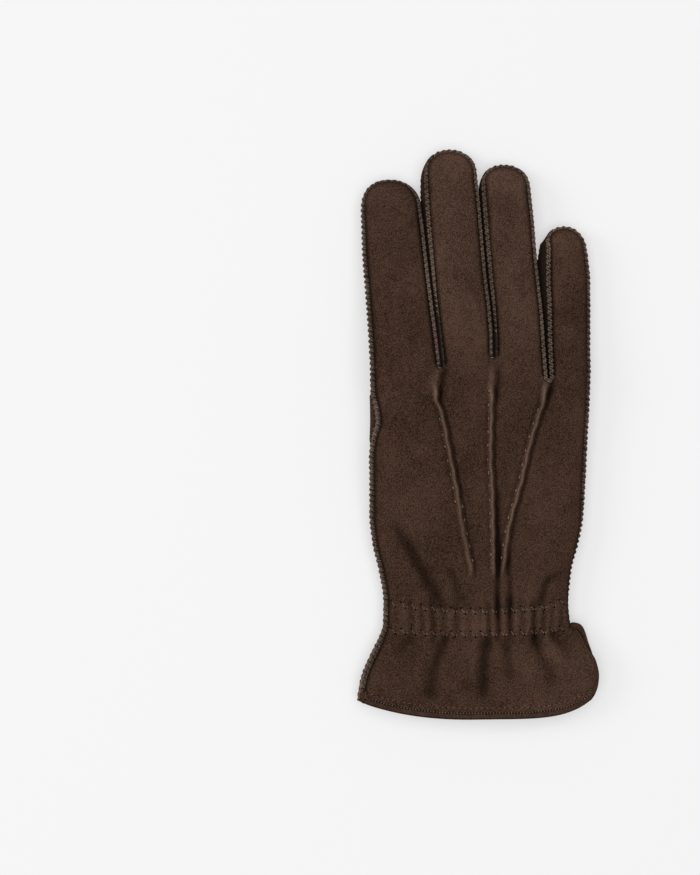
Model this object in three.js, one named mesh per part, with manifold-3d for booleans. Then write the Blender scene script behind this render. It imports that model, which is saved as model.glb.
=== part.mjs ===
// A right-hand suede dress glove lying palm down on a table, in millimetres.
// +X points to the little finger, +Y to the fingertips, +Z up, and it rests on z = 0.
import * as THREE from "three";
import { mergeVertices } from "three/addons/utils/BufferGeometryUtils.js";
import Module from "manifold-3d";

// Driving dimensions
const WALL = 1.0; // leather thickness
const SEAM_GAP = 0.3; // clearance between two pieces sewn together
const LIP = 1.6; // how far a seam's raised edges stand out
const SLIT = 1.55; // half width of the slit between two fingers, between its seam lines
const TUCK_HEIGHT = 1.1; // the three raised tucks on the back
const TUCK_HALF = 1.0;
const TUCK_SHOULDER = 2.3;
const CREST_BACK = 2.2; // how far a finger's top stands above its upper seams
const CREST_PALM = 1.0; // how far a finger's underside hangs below its lower seams
const GATHERS = 10; // gathers drawn in by the wrist elastic
const GATHER_DEPTH = 0.75;
const HAND_ROUND = 3.2; // superellipse power of the hand's cross-section
const FINGER_ROUND = 2.4; // and of a finger's
const TIP_ROUND = 2.2; // and of a fingertip's outline
const FOURCHETTE_LIFT = 85; // degrees that the lips beside a fourchette stand up
const FOURCHETTE_POINT = 1.3; // height of a fourchette where it ends at the fingertip

// The hand's cross-sections: seam lines left and right, seam heights, the back's height over the
// index, middle and little-finger thirds, and the palm's height on the thumb side and the other.
const SECTIONS = table("y left right seamL seamR topL topC topR lowL lowR", [
  [31, -48.5, 49.4, 13.2, 8.0, 22.2, 20.4, 17.2, 10.3, 1.0],
  [20, -48.2, 49.0, 13.6, 8.0, 22.7, 21.0, 17.4, 10.3, 0.8],
  [13, -47.2, 48.8, 14.4, 8.0, 22.8, 21.0, 17.4, 10.3, 0.7],
  [6, -46.7, 48.4, 14.8, 8.0, 22.8, 20.9, 17.2, 10.3, 0.6],
  [-1, -47.6, 48.0, 14.0, 8.0, 22.6, 20.7, 17.0, 10.2, 0.5],
  [-10, -48.4, 47.6, 12.9, 7.8, 22.0, 20.3, 16.8, 9.4, 0.5],
  [-22, -48.7, 47.0, 10.9, 7.4, 20.6, 19.4, 16.4, 6.4, 0.4],
  [-36, -48.6, 46.0, 8.7, 7.0, 18.4, 18.2, 15.7, 2.6, 0.3],
  [-50, -46.8, 43.5, 7.3, 6.8, 16.8, 17.0, 14.9, 0.9, 0.2],
  [-62, -43.8, 40.6, 6.8, 6.6, 15.6, 15.8, 14.3, 0.4, 0.2],
  [-77, -41.9, 38.9, 6.6, 6.6, 14.0, 14.2, 13.4, 0.2, 0.2],
  [-88, -42.4, 39.6, 6.6, 6.6, 13.6, 13.8, 13.2, 0.2, 0.2],
]);
const HAND_ROWS = [22, 15, 8, 1, -8, -18, -29, -40, -51, -61];
const WRIST_ROWS = [-68, -74, -79.5, -84, -88];
const THUMB_LEATHER = { y: 6, half: 10, out: 5.2 }; // palm leather that shows outside the seam

// The cuff from the wrist down: t from the band to the hem, both edges, and their heights.
// The left edge is sewn; the right edges are the free flaps of the vent.
const CUFF = table("t leftX leftY backX backY palmX palmY seamL backZ palmZ", [
  [0.0, -42.4, -88, 39.6, -88, 39.6, -88, 6.6, 6.6, 6.6],
  [0.15, -44.6, -94, 45.2, -90.6, 46.4, -88.7, 6.4, 8.6, 3.2],
  [0.35, -48.0, -101, 48.7, -97, 49.6, -96.2, 6.0, 9.6, 1.8],
  [0.55, -51.2, -108, 53.0, -104, 51.6, -102, 5.6, 9.8, 1.6],
  [0.75, -53.0, -114, 54.0, -111, 52.2, -109, 5.2, 9.6, 1.6],
  [0.9, -53.5, -118, 53.4, -116.5, 51.0, -114, 5.0, 9.0, 1.6],
  [1.0, -53.2, -122.0, 50.8, -121.8, 48.4, -119.6, 4.8, 8.4, 1.6],
]);
const CUFF_ROWS = [0.15, 0.35, 0.55, 0.75, 0.9, 1.0];
const CUFF_TOP = { band: 13.6, hem: 13.4 }; // height of the cuff's back between its edges
const CUFF_LOW = { band: 0.2, hem: 1.45 }; // height of the cuff's palm side
const HEM_DROP = { back: 8.0, palm: 6.6 }; // how far the hem bows out below its corners
const HEM_SQUARE = 3.3;
const FLAP_ROUND = 4; // how late a free flap turns down to its edge

// Long folds of the cuff and the lower hand: from and to, how deep and how wide.
const FOLDS = table("fromX fromY toX toY depth half", [
  [-20, -98, -21, -117, 1.5, 3.0],
  [1.5, -94, 1.5, -119, 1.7, 3.2],
  [14, -92, 15, -108, 1.1, 2.6],
  [29, -94, 36, -113, 1.6, 3.2],
  [-36, -40, -18, -74, 1.2, 3.0],
  [12, -32, 10, -72, 1.3, 2.6],
  [37, -60, 27, -75, 1.2, 3.0],
]);

// The tucks' centre lines from each finger gap to the wrist.
const TUCKS = [
  table("y x", [
    [30, -18.6],
    [17.7, -19.0],
    [9, -16.4],
    [-6.7, -13.4],
    [-20, -10.4],
    [-41.6, -7.2],
    [-62.8, -2.8],
  ]),
  table("y x", [
    [34, 6.8],
    [16.3, 6.1],
    [-9, 5.6],
    [-24, 6.4],
    [-43, 6.8],
    [-62, 7.2],
  ]),
  table("y x", [
    [25, 31.6],
    [17, 30.8],
    [6.4, 27.0],
    [-6.7, 23.1],
    [-20, 20.1],
    [-43, 13.9],
    [-64.6, 11.0],
  ]),
];
const TUCK_RISE = [16, 26]; // the tucks grow out of the leather between these heights of y
const TUCK_FADE = [-66, -58];

// The fingers: seam lines left and right, the height of the top and the underside along the
// finger from its root (t = 0) to where the tip's arc starts (t = 1), which sides have a
// fourchette, and how far the underside leans to the thumb side.
const FINGERS = [
  {
    tip: 116.2, arch: 102.5, forkLeft: false, forkRight: true, lean: 0,
    left: table("y x", [
      [31, -48.5],
      [44, -48.9],
      [67, -50.3],
      [83, -51.5],
      [103, -52.6],
    ]),
    right: table("y x", [
      [32, -18.9],
      [44, -20.3],
      [67, -23.2],
      [83, -25.0],
      [103, -26.9],
    ]),
    heights: table("t top belly", [
      [0, 21.9, 10.2],
      [0.18, 20.8, 8.6],
      [0.5, 17.4, 3.6],
      [0.75, 15.2, 1.0],
      [1, 14.2, 0],
    ]),
  },
  {
    tip: 130.0, arch: 117.5, forkLeft: true, forkRight: true, lean: -0.9,
    left: table("y x", [
      [32, -15.8],
      [44, -17.2],
      [67, -20.1],
      [83, -21.9],
      [106, -24.2],
      [118, -25.0],
    ]),
    right: table("y x", [
      [36.6, 5.45],
      [44, 5.3],
      [60, 3.9],
      [71, 2.5],
      [90, 1.0],
      [109, -0.2],
      [118, -0.8],
    ]),
    heights: table("t top belly", [
      [0, 20.6, 7.4],
      [0.18, 19.2, 5.8],
      [0.5, 16.0, 2.0],
      [0.75, 14.4, 0.4],
      [1, 13.8, 0],
    ]),
  },
  {
    tip: 122.6, arch: 112.5, forkLeft: true, forkRight: true, lean: -0.6,
    left: table("y x", [
      [36.6, 8.55],
      [44, 8.4],
      [60, 7.0],
      [71, 5.6],
      [90, 4.1],
      [109, 2.9],
      [113, 2.8],
    ]),
    right: table("y x", [
      [26.5, 30.35],
      [41, 29.9],
      [56, 28.7],
      [71, 27.0],
      [83, 25.6],
      [98, 24.6],
      [113, 23.2],
    ]),
    heights: table("t top belly", [
      [0, 18.8, 3.0],
      [0.18, 17.6, 2.2],
      [0.5, 14.9, 0.5],
      [0.7, 13.8, 0],
      [1, 13.2, 0],
    ]),
  },
  {
    tip: 94.6, arch: 86.0, forkLeft: true, forkRight: false, lean: -2.6,
    left: table("y x", [
      [26.5, 33.45],
      [44, 33.3],
      [60, 32.7],
      [71, 31.8],
      [86, 31.8],
    ]),
    right: table("y x", [
      [28, 49.4],
      [41, 49.2],
      [56, 49.4],
      [71, 49.6],
      [81, 48.9],
      [86, 48.2],
    ]),
    heights: table("t top belly", [
      [0, 17.4, 1.0],
      [0.18, 16.2, 0.6],
      [0.5, 14.0, 0],
      [0.7, 13.2, 0],
      [1, 12.4, 0],
    ]),
  },
];
const FINGER_ROWS = 7;
const TIP_STEP = 18; // degrees between two seam stations round a fingertip
const FORK_END = 54; // degrees round the tip where a fourchette ends
const BACK_ACROSS = [0.5, 0.84]; // mesh lines between a finger's middle (0) and its seam (1)
const PALM_ACROSS = [0.62];
const VALLEY_FADE = [0.45, 0.16, 0.05]; // how the dips between fingers die out below them
const CUFF_COLUMNS = { back: 38, palm: 18 };

// The thumb, a flattened tube folded under the palm: its middle, half width, underside and top.
const THUMB = table("y x half low high", [
  [-42, -32, 7.5, 2.6, 8.0],
  [-34, -32, 10.8, 1.2, 8.9],
  [-24, -31.8, 12.6, 0.3, 9.3],
  [-8, -31, 13.2, 0, 9.4],
  [10, -29.4, 13.2, 0, 9.4],
  [24, -28, 12.4, 0, 9.3],
  [32, -27.2, 10.6, 0.2, 8.9],
  [37.5, -26.7, 7.4, 1.2, 8.0],
  [40.5, -26.4, 3.4, 2.8, 6.4],
]);
const THUMB_SIDES = 18;
const THUMB_ROUND = 2.6;
const THUMB_RIM = 0.8; // how far the thumb's edge stands inside the palm

// The bound edge of the cuff: a leather strip folded over it.
const BINDING_DEPTH = 2.6;
const BINDING_WALL = 1.0;

const SUEDE = { color: 0x4a362b, roughness: 0.95, metalness: 0 };
const TRIM = { color: 0x3f2d24, roughness: 0.8, metalness: 0 };

// Small maths
const mix = (a, b, t) => a + (b - a) * t;
const smooth = (t) => {
  const c = Math.min(1, Math.max(0, t));
  return c * c * (3 - 2 * c);
};
const radians = (degrees) => (degrees * Math.PI) / 180;
const add = (p, q, scale = 1) => [p[0] + q[0] * scale, p[1] + q[1] * scale, p[2] + q[2] * scale];
const cross = (p, q) => [
  p[1] * q[2] - p[2] * q[1],
  p[2] * q[0] - p[0] * q[2],
  p[0] * q[1] - p[1] * q[0],
];
const unit = (p) => {
  const length = Math.hypot(...p) || 1;
  return p.map((value) => value / length);
};
const dome = (rho, power) => Math.pow(Math.max(0, 1 - Math.pow(Math.abs(rho), power)), 1 / power);

// A table: a header of column names, and a row of values for each of its places.
function table(header, rows) {
  const names = header.split(" ");
  return rows.map((row) => Object.fromEntries(names.map((name, i) => [name, row[i]])));
}

// A table's column as a smooth function of its key column, without overshoot.
function column(rows, key, name) {
  const sorted = [...rows].sort((p, q) => p[key] - q[key]);
  const slope = sorted.slice(1).map((row, i) => {
    const before = sorted[i];
    return (row[name] - before[name]) / (row[key] - before[key]);
  });
  const tangent = sorted.map((row, i) => {
    if (i === 0) return slope[0];
    if (i === sorted.length - 1) return slope[i - 1];
    const product = slope[i - 1] * slope[i];
    return product <= 0 ? 0 : (2 * product) / (slope[i - 1] + slope[i]);
  });
  return (value) => {
    const last = sorted.length - 1;
    if (value <= sorted[0][key]) return sorted[0][name];
    if (value >= sorted[last][key]) return sorted[last][name];
    const i = sorted.findIndex((row) => row[key] > value) - 1;
    const span = sorted[i + 1][key] - sorted[i][key];
    const t = (value - sorted[i][key]) / span;
    const fromStart = (1 + 2 * t) * sorted[i][name] + t * span * tangent[i];
    const fromEnd = (3 - 2 * t) * sorted[i + 1][name] - (1 - t) * span * tangent[i + 1];
    return (1 - t) ** 2 * fromStart + t * t * fromEnd;
  };
}

// A leather sheet: points on its shown face and its inner face, and triangles that link them.
class Sheet {
  constructor(up) {
    this.up = up; // +1 where the shown face looks up, -1 where it looks down
    this.base = [];
    this.ridge = [];
    this.fixed = [];
    this.triangles = [];
  }

  // A point of the shown face; the inner face lies one wall behind it, below any ridge.
  point(position, ridge = 0) {
    this.base.push(position);
    this.ridge.push(ridge);
    this.fixed.push(null);
    return this.base.length - 1;
  }

  // A point whose two faces are both given.
  pair(shown, inner) {
    this.base.push(shown);
    this.ridge.push(0);
    this.fixed.push({ shown, inner });
    return this.base.length - 1;
  }

  triangle(a, b, c) {
    if (a === b || b === c || c === a) return;
    this.triangles.push(this.up > 0 ? [a, b, c] : [a, c, b]);
  }

  // Fills the strip between two rows that run the same way, the first one nearer the cuff.
  bridge(low, high) {
    const share = (row) => {
      const x = row.map((id) => this.base[id][0]);
      return x.map((value) => (value - x[0]) / (x[x.length - 1] - x[0] || 1));
    };
    const even = low.length === high.length;
    const lowShare = even ? low.map((_, i) => i) : share(low);
    const highShare = even ? high.map((_, i) => i) : share(high);
    let i = 0;
    let j = 0;
    while (i < low.length - 1 || j < high.length - 1) {
      const lowNext = i < low.length - 1 ? lowShare[i + 1] : Infinity;
      const highNext = j < high.length - 1 ? highShare[j + 1] : Infinity;
      if (lowNext <= highNext) {
        this.triangle(low[i], low[i + 1], high[j]);
        i += 1;
      } else {
        this.triangle(low[i], high[j + 1], high[j]);
        j += 1;
      }
    }
  }

  faces() {
    const normals = this.base.map(() => [0, 0, 0]);
    for (const [a, b, c] of this.triangles) {
      const face = cross(add(this.base[b], this.base[a], -1), add(this.base[c], this.base[a], -1));
      for (const id of [a, b, c]) normals[id] = add(normals[id], face);
    }
    return this.base.map((position, id) => {
      if (this.fixed[id]) return this.fixed[id];
      const normal = unit(normals[id]);
      return { shown: add(position, normal, this.ridge[id]), inner: add(position, normal, -WALL) };
    });
  }

  // The closed solid: the shown face, the inner face turned round, and a wall along each rim.
  geometry() {
    const faces = this.faces();
    const count = faces.length;
    const positions = [...faces.map((f) => f.shown), ...faces.map((f) => f.inner)].flat();
    const used = new Map();
    for (const [a, b, c] of this.triangles) {
      for (const [from, to] of [[a, b], [b, c], [c, a]]) used.set(`${from}_${to}`, [from, to]);
    }
    const index = [];
    for (const [a, b, c] of this.triangles) index.push(a, b, c, a + count, c + count, b + count);
    for (const [from, to] of used.values()) {
      if (used.has(`${to}_${from}`)) continue;
      index.push(to, from, from + count, to, from + count, to + count);
    }
    return indexed(positions, index);
  }
}

function indexed(positions, index) {
  const geometry = new THREE.BufferGeometry();
  geometry.setAttribute("position", new THREE.Float32BufferAttribute(positions, 3));
  geometry.setIndex(index);
  geometry.computeVertexNormals();
  return geometry;
}

// Heights of the hand
const section = Object.fromEntries(
  ["left", "right", "seamL", "seamR", "topL", "topC", "topR", "lowL", "lowR"].map((name) => [
    name,
    column(SECTIONS, "y", name),
  ]),
);
const cuff = Object.fromEntries(
  ["leftX", "leftY", "backX", "backY", "palmX", "palmY", "seamL", "backZ", "palmZ"].map((name) => [
    name,
    column(CUFF, "t", name),
  ]),
);
const tuckX = TUCKS.map((rows) => column(rows, "y", "x"));

function foldDepth(x, y) {
  let depth = 0;
  for (const fold of FOLDS) {
    const run = [fold.toX - fold.fromX, fold.toY - fold.fromY];
    const square = run[0] ** 2 + run[1] ** 2;
    const t = ((x - fold.fromX) * run[0] + (y - fold.fromY) * run[1]) / square;
    const away = Math.abs((x - fold.fromX) * run[1] - (y - fold.fromY) * run[0]) / Math.sqrt(square);
    const ends = smooth((t + 0.25) / 0.4) * smooth((1.3 - t) / 0.4);
    depth += fold.depth * ends * Math.exp(-((away / fold.half) ** 2));
  }
  return depth;
}

// How strongly the wrist elastic gathers the leather at a height y.
function gatherDepth(y) {
  return GATHER_DEPTH * smooth((-60 - y) / 14) * (1 - 0.75 * smooth((-92 - y) / 22));
}

function across(u, left, middle, right) {
  const low = u < 0;
  const t = Math.min(1, Math.abs(u) / 0.5);
  return mix(middle, low ? left : right, smooth(t));
}

// The shown height of the back (side 1) or the palm (side -1) at a share u across the hand.
function handHeight(side, u, y) {
  const seam = mix(section.seamL(y), section.seamR(y), (u + 1) / 2);
  const edge = seam + side * (SEAM_GAP / 2 + WALL);
  if (side > 0) {
    const crest = across(u, section.topL(y), section.topC(y), section.topR(y));
    return mix(edge, crest, dome(u, HAND_ROUND));
  }
  const flat = mix(section.lowL(y), section.lowR(y), smooth((u + 0.18) / 0.62));
  return mix(edge, flat, dome(u, HAND_ROUND));
}

// Seam stations
// A station is one point of a seam line: its place on the back and the palm edge, how far the
// lips lift from level (degrees), and the crest of the leather inside it.
function sideStation(x, y, z, lift = 0) {
  return { back: [x, y, z], palm: [x, y, z], lift };
}

function fingerSide(finger, side, t) {
  const rows = side < 0 ? finger.left : finger.right;
  const y = mix(rows[0].y, finger.arch, t);
  return [column(rows, "y", "x")(y), y];
}

function fingerStation(finger, plan, t, turned, fork) {
  const top = column(finger.heights, "t", "top")(t);
  const belly = column(finger.heights, "t", "belly")(t);
  const middle = (top + belly) / 2;
  if (!fork) return { ...sideStation(plan[0], plan[1], middle), top, belly, fork: false };
  const weight = 1 - smooth(turned / FORK_END);
  const beyond = turned > FORK_END;
  const half = beyond ? 0 : FOURCHETTE_POINT / 2;
  const back = mix(middle + half, top - CREST_BACK - WALL, weight);
  const palm = mix(middle - half, belly + CREST_PALM + WALL, weight);
  const lean = finger.lean * t * t * weight;
  return {
    back: [plan[0], plan[1], back],
    palm: [plan[0] + lean, plan[1], palm],
    lift: beyond ? (90 - turned) * 1.6 : mix(60, FOURCHETTE_LIFT, weight),
    top,
    belly,
    fork: !beyond,
  };
}

// A finger's stations, up its little-finger side, round the tip and down its thumb side.
function fingerStations(finger) {
  const stations = [];
  for (let i = 0; i <= FINGER_ROWS; i += 1) {
    const t = i / FINGER_ROWS;
    stations.push(fingerStation(finger, fingerSide(finger, 1, t), t, 0, finger.forkRight));
  }
  const right = fingerSide(finger, 1, 1);
  const left = fingerSide(finger, -1, 1);
  const middle = (left[0] + right[0]) / 2;
  const half = (right[0] - left[0]) / 2;
  for (let angle = TIP_STEP; angle < 180; angle += TIP_STEP) {
    const turn = radians(angle);
    const plan = [
      middle + half * Math.sign(Math.cos(turn)) * Math.abs(Math.cos(turn)) ** (2 / TIP_ROUND),
      finger.arch + (finger.tip - finger.arch) * Math.sin(turn) ** (2 / TIP_ROUND),
    ];
    const onRight = angle < 90;
    const turned = onRight ? angle : 180 - angle;
    stations.push(fingerStation(finger, plan, 1, turned, onRight ? finger.forkRight : finger.forkLeft));
  }
  for (let i = FINGER_ROWS; i >= 0; i -= 1) {
    const t = i / FINGER_ROWS;
    stations.push(fingerStation(finger, fingerSide(finger, -1, t), t, 0, finger.forkLeft));
  }
  return stations;
}

// The round end of the slit between two fingers, from the thumb side to the other.
function crotchStations(left, right) {
  const start = left[0];
  const end = right[right.length - 1];
  return [0.25, 0.5, 0.75].map((share) => {
    const turn = Math.PI * share;
    const blend = (key) => [
      mix(start[key][0], end[key][0], 0.5 - 0.5 * Math.cos(turn)),
      mix(start[key][1], end[key][1], share) - SLIT * Math.sin(turn),
      mix(start[key][2], end[key][2], share),
    ];
    return {
      back: blend("back"),
      palm: blend("palm"),
      lift: FOURCHETTE_LIFT,
      fork: true,
      top: start.top,
      belly: start.belly,
    };
  });
}

const fingers = FINGERS.map(fingerStations);
const crotches = [0, 1, 2].map((i) => crotchStations(fingers[i], fingers[i + 1]));
const sideRows = [...HAND_ROWS, ...WRIST_ROWS];
const rightSide = [...sideRows].reverse().map((y) => sideStation(section.right(y), y, section.seamR(y)));
const leftSide = [
  ...sideRows.map((y) => sideStation(section.left(y), y, section.seamL(y))),
  ...CUFF_ROWS.map((t) => sideStation(cuff.leftX(t), cuff.leftY(t), cuff.seamL(t))),
];

// The whole sewn line anticlockwise, from the vent round the fingers to the hem on the other side.
const seamLine = [...rightSide];
fingers.map((stations, i) => [stations, i]).reverse().forEach(([stations, i]) => {
  seamLine.push(...stations);
  if (i > 0) seamLine.push(...[...crotches[i - 1]].reverse());
});
seamLine.push(...leftSide);

// Outward directions in plan along a run of points.
function outwards(points) {
  return points.map((_, i) => {
    const before = points[Math.max(0, i - 1)];
    const after = points[Math.min(points.length - 1, i + 1)];
    return unit([after[1] - before[1], before[0] - after[0], 0]);
  });
}
for (const key of ["back", "palm"]) {
  outwards(seamLine.map((station) => station[key])).forEach((out, i) => {
    seamLine[i][`${key}Out`] = out;
  });
}

// The frame of a seam at a station: along the lip, and across it towards the panel.
function seamFrame(station, key) {
  const side = key === "back" ? 1 : -1;
  const out = station[`${key}Out`];
  const lift = radians(station.lift);
  return {
    lip: [out[0] * Math.cos(lift), out[1] * Math.cos(lift), side * Math.sin(lift)],
    panel: [-out[0] * Math.sin(lift), -out[1] * Math.sin(lift), side * Math.cos(lift)],
  };
}

// The panel's crease and lip edge at a station.
function panelEdge(sheet, station, key) {
  const { lip, panel } = seamFrame(station, key);
  const inner = add(station[key], panel, SEAM_GAP / 2);
  const crease = WALL * Math.tan(radians(Math.max(station.lift, 50)) / 2);
  const shown = add(add(inner, panel, WALL), lip, crease);
  const innerTip = add(inner, lip, LIP);
  station[`${key}Crease`] = sheet.pair(shown, inner);
  station[`${key}Tip`] = sheet.pair(add(innerTip, panel, WALL), innerTip);
}

// A panel: the back (key "back") or the palm (key "palm") with its four fingers and its cuff.
function panelSheet(key) {
  const side = key === "back" ? 1 : -1;
  const sheet = new Sheet(side);
  seamLine.forEach((station) => panelEdge(sheet, station, key));
  const crease = (station) => station[`${key}Crease`];
  const lines = key === "back" ? BACK_ACROSS : PALM_ACROSS;

  // The crest of a finger at rho, from its middle (0) to a seam station (1).
  const fingerPoint = (spine, station, rho) => {
    const seam = station[key];
    const edge = seam[2] + side * WALL;
    const crest = side > 0 ? station.top : station.belly;
    const z = mix(edge, crest, dome(rho, FINGER_ROUND));
    return [mix(spine[0], seam[0], rho), mix(spine[1], seam[1], rho), z];
  };

  // Each finger: rows across it from its root, then a fan round the tip.
  const roots = fingers.map((stations) => {
    const count = stations.length;
    const ray = (spine, station) => lines.map((rho) => sheet.point(fingerPoint(spine, station, rho)));
    let previous = null;
    let root = null;
    let hub = null;
    for (let i = 0; i <= FINGER_ROWS; i += 1) {
      const right = stations[i];
      const left = stations[count - 1 - i];
      const spine = [(left[key][0] + right[key][0]) / 2, (left[key][1] + right[key][1]) / 2];
      const crest = side > 0 ? right.top : right.belly;
      hub = { id: sheet.point([...spine, crest]), spine };
      const leftRay = ray(spine, left);
      const rightRay = ray(spine, right);
      const row = [crease(left), ...[...leftRay].reverse(), hub.id, ...rightRay, crease(right)];
      if (previous) sheet.bridge(previous, row);
      else root = row;
      previous = row;
      hub.left = [...leftRay, crease(left)];
      hub.right = [...rightRay, crease(right)];
    }
    let spoke = hub.right;
    for (let i = FINGER_ROWS + 1; i < count - FINGER_ROWS; i += 1) {
      const lastOne = i === count - FINGER_ROWS - 1;
      const next = lastOne ? hub.left : [...ray(hub.spine, stations[i]), crease(stations[i])];
      sheet.triangle(hub.id, spoke[0], next[0]);
      for (let j = 0; j < next.length - 1; j += 1) {
        sheet.triangle(spoke[j], spoke[j + 1], next[j + 1]);
        sheet.triangle(spoke[j], next[j + 1], next[j]);
      }
      spoke = next;
    }
    return root;
  });

  // The row where the hand splits into fingers, with the slit ends between them.
  const splitRow = roots.flatMap((root, i) => (i < 3 ? [...root, ...crotches[i].map(crease)] : root));
  const rootDepth = (id) => {
    const [x, y, z] = sheet.base[id];
    const reach = Math.min(y, SECTIONS[0].y);
    const u = (2 * (x - section.left(reach))) / (section.right(reach) - section.left(reach)) - 1;
    return z - handHeight(side, Math.min(0.97, Math.max(-0.97, u)), reach);
  };
  const depths = splitRow.map(rootDepth);
  const splitShare = splitRow.map((id) => sheet.base[id][0]);
  const depthAt = (x) => {
    const j = splitShare.findIndex((value) => value > x);
    if (j <= 0) return depths[j === 0 ? 0 : depths.length - 1];
    const t = (x - splitShare[j - 1]) / (splitShare[j] - splitShare[j - 1]);
    return mix(depths[j - 1], depths[j], t);
  };

  // Rows of the hand from the fingers to the wrist.
  let above = splitRow;
  HAND_ROWS.forEach((y, i) => {
    const leftX = section.left(y);
    const rightX = section.right(y);
    const dip = VALLEY_FADE[i] || 0;
    const row = [crease(leftSide[i])];
    for (const spot of handColumns(key, y, leftX, rightX)) {
      const z = handHeight(side, spot.u, y) + dip * depthAt(spot.rootX) - side * handFold(key, spot.x, y);
      row.push(sheet.point([spot.x, y, z], spot.ridge));
    }
    row.push(crease(rightSide[rightSide.length - 1 - i]));
    sheet.bridge(row, above);
    above = row;
  });

  // Rows of the wrist band and the cuff.
  const wide = CUFF_COLUMNS[key];
  WRIST_ROWS.forEach((y, i) => {
    const leftX = section.left(y);
    const rightX = section.right(y);
    const row = [crease(leftSide[HAND_ROWS.length + i])];
    for (const u of evenColumns(wide)) {
      const x = mix(leftX, rightX, (u + 1) / 2);
      const z = handHeight(side, u, y) - side * (gather(u, y) + handFold(key, x, y));
      row.push(sheet.point([x, y, z]));
    }
    row.push(crease(rightSide[WRIST_ROWS.length - 1 - i]));
    sheet.bridge(row, above);
    above = row;
  });
  const flapEdge = [];
  CUFF_ROWS.forEach((t, i) => {
    const row = [crease(leftSide[sideRows.length + i])];
    for (const u of [...evenColumns(wide), 1]) row.push(sheet.point(cuffPoint(key, u, t)));
    flapEdge.push(row[row.length - 1]);
    sheet.bridge(row, above);
    above = row;
  });

  // The lips, along the whole sewn line.
  seamLine.slice(1).forEach((station, i) => {
    const before = seamLine[i];
    sheet.triangle(crease(before), before[`${key}Tip`], station[`${key}Tip`]);
    sheet.triangle(crease(before), station[`${key}Tip`], crease(station));
  });
  sheet.hem = [...above, ...[...flapEdge].reverse().slice(1)];
  return sheet;
}

function gather(u, y) {
  return gatherDepth(y) * (0.5 - 0.5 * Math.cos(Math.PI * (u + 1) * GATHERS)) * (1 - u ** 8);
}

function handFold(key, x, y) {
  return key === "back" ? foldDepth(x, y) : 0;
}

// Columns of one row across the hand: the back's follow the tucks, the palm's are even.
function handColumns(key, y, leftX, rightX) {
  const share = (x) => (2 * (x - leftX)) / (rightX - leftX) - 1;
  if (key === "palm") {
    return evenColumns(CUFF_COLUMNS.palm).map((u) => {
      const x = mix(leftX, rightX, (u + 1) / 2);
      const near = Math.exp(-(((u + 0.9) / 0.07) ** 2));
      const along = Math.max(0, 1 - ((y - THUMB_LEATHER.y) / THUMB_LEATHER.half) ** 2);
      return { x: x - THUMB_LEATHER.out * near * along, u, ridge: 0, rootX: x };
    });
  }
  const rise = 1 - smooth((y - TUCK_RISE[0]) / (TUCK_RISE[1] - TUCK_RISE[0]));
  const fade = smooth((y - TUCK_FADE[0]) / (TUCK_FADE[1] - TUCK_FADE[0]));
  const ridge = TUCK_HEIGHT * rise * fade;
  const spots = [];
  let startX = leftX;
  let startRoot = leftX;
  for (let i = 0; i < 4; i += 1) {
    const tuck = i < 3 ? tuckX[i](y) : rightX;
    const root = i < 3 ? TUCKS[i][0].x : rightX;
    const endX = i < 3 ? tuck - TUCK_SHOULDER : rightX;
    const endRoot = i < 3 ? root - SLIT : rightX;
    const leftHalf = [...BACK_ACROSS].reverse().map((rho) => (1 - rho) / 2);
    const rightHalf = BACK_ACROSS.map((rho) => (1 + rho) / 2);
    const shares = [0, ...leftHalf, 0.5, ...rightHalf, 1];
    shares.forEach((s, j) => {
      if ((i === 0 && j === 0) || (i === 3 && j === shares.length - 1)) return;
      const x = mix(startX, endX, s);
      spots.push({ x, u: share(x), ridge: 0, rootX: mix(startRoot, endRoot, s) });
    });
    if (i < 3) {
      for (const foot of [-1, 0, 1]) {
        const x = tuck + foot * TUCK_HALF;
        spots.push({ x, u: share(x), ridge: foot === 0 ? ridge : 0, rootX: root + foot * SLIT * 0.5 });
      }
      startX = tuck + TUCK_SHOULDER;
      startRoot = root + SLIT;
    }
  }
  return spots;
}

// Even columns between the two edges, with two finer ones where the leather turns over.
function evenColumns(count) {
  const inner = Array.from({ length: count - 3 }, (_, i) => -1 + (2 * (i + 1)) / (count - 2));
  return [-0.975, ...inner, 0.975];
}

// A point of the cuff at a share u across and t from the band to the hem.
function cuffPoint(key, u, t) {
  const side = key === "back" ? 1 : -1;
  const edgeX = cuff[`${key}X`](t);
  const edgeY = cuff[`${key}Y`](t);
  const edgeZ = cuff[`${key}Z`](t);
  const s = (u + 1) / 2;
  const x = mix(cuff.leftX(t), edgeX, s);
  const bow = HEM_DROP[key] * (1 - Math.abs(u) ** HEM_SQUARE) * t * t;
  const y = mix(cuff.leftY(t), edgeY, s) - bow;
  const leftEdge = cuff.seamL(t) + side * (SEAM_GAP / 2 + WALL);
  const low = mix(CUFF_LOW.band, CUFF_LOW.hem, smooth(t));
  const crest = side > 0 ? mix(CUFF_TOP.band, CUFF_TOP.hem, t) : low;
  const sewn = mix(leftEdge, crest, dome(u, HAND_ROUND));
  const free = mix(edgeZ, crest, 1 - Math.abs(u) ** FLAP_ROUND);
  const z = u < 0 ? sewn : free;
  const wave = gather(u, Math.max(y, -118)) + (key === "back" ? foldDepth(x, y) : 0);
  const calm = key === "palm" ? 0.2 : 1;
  return [x, y, z - side * wave * calm * (1 - 0.6 * Math.abs(u) ** 6)];
}

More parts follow.
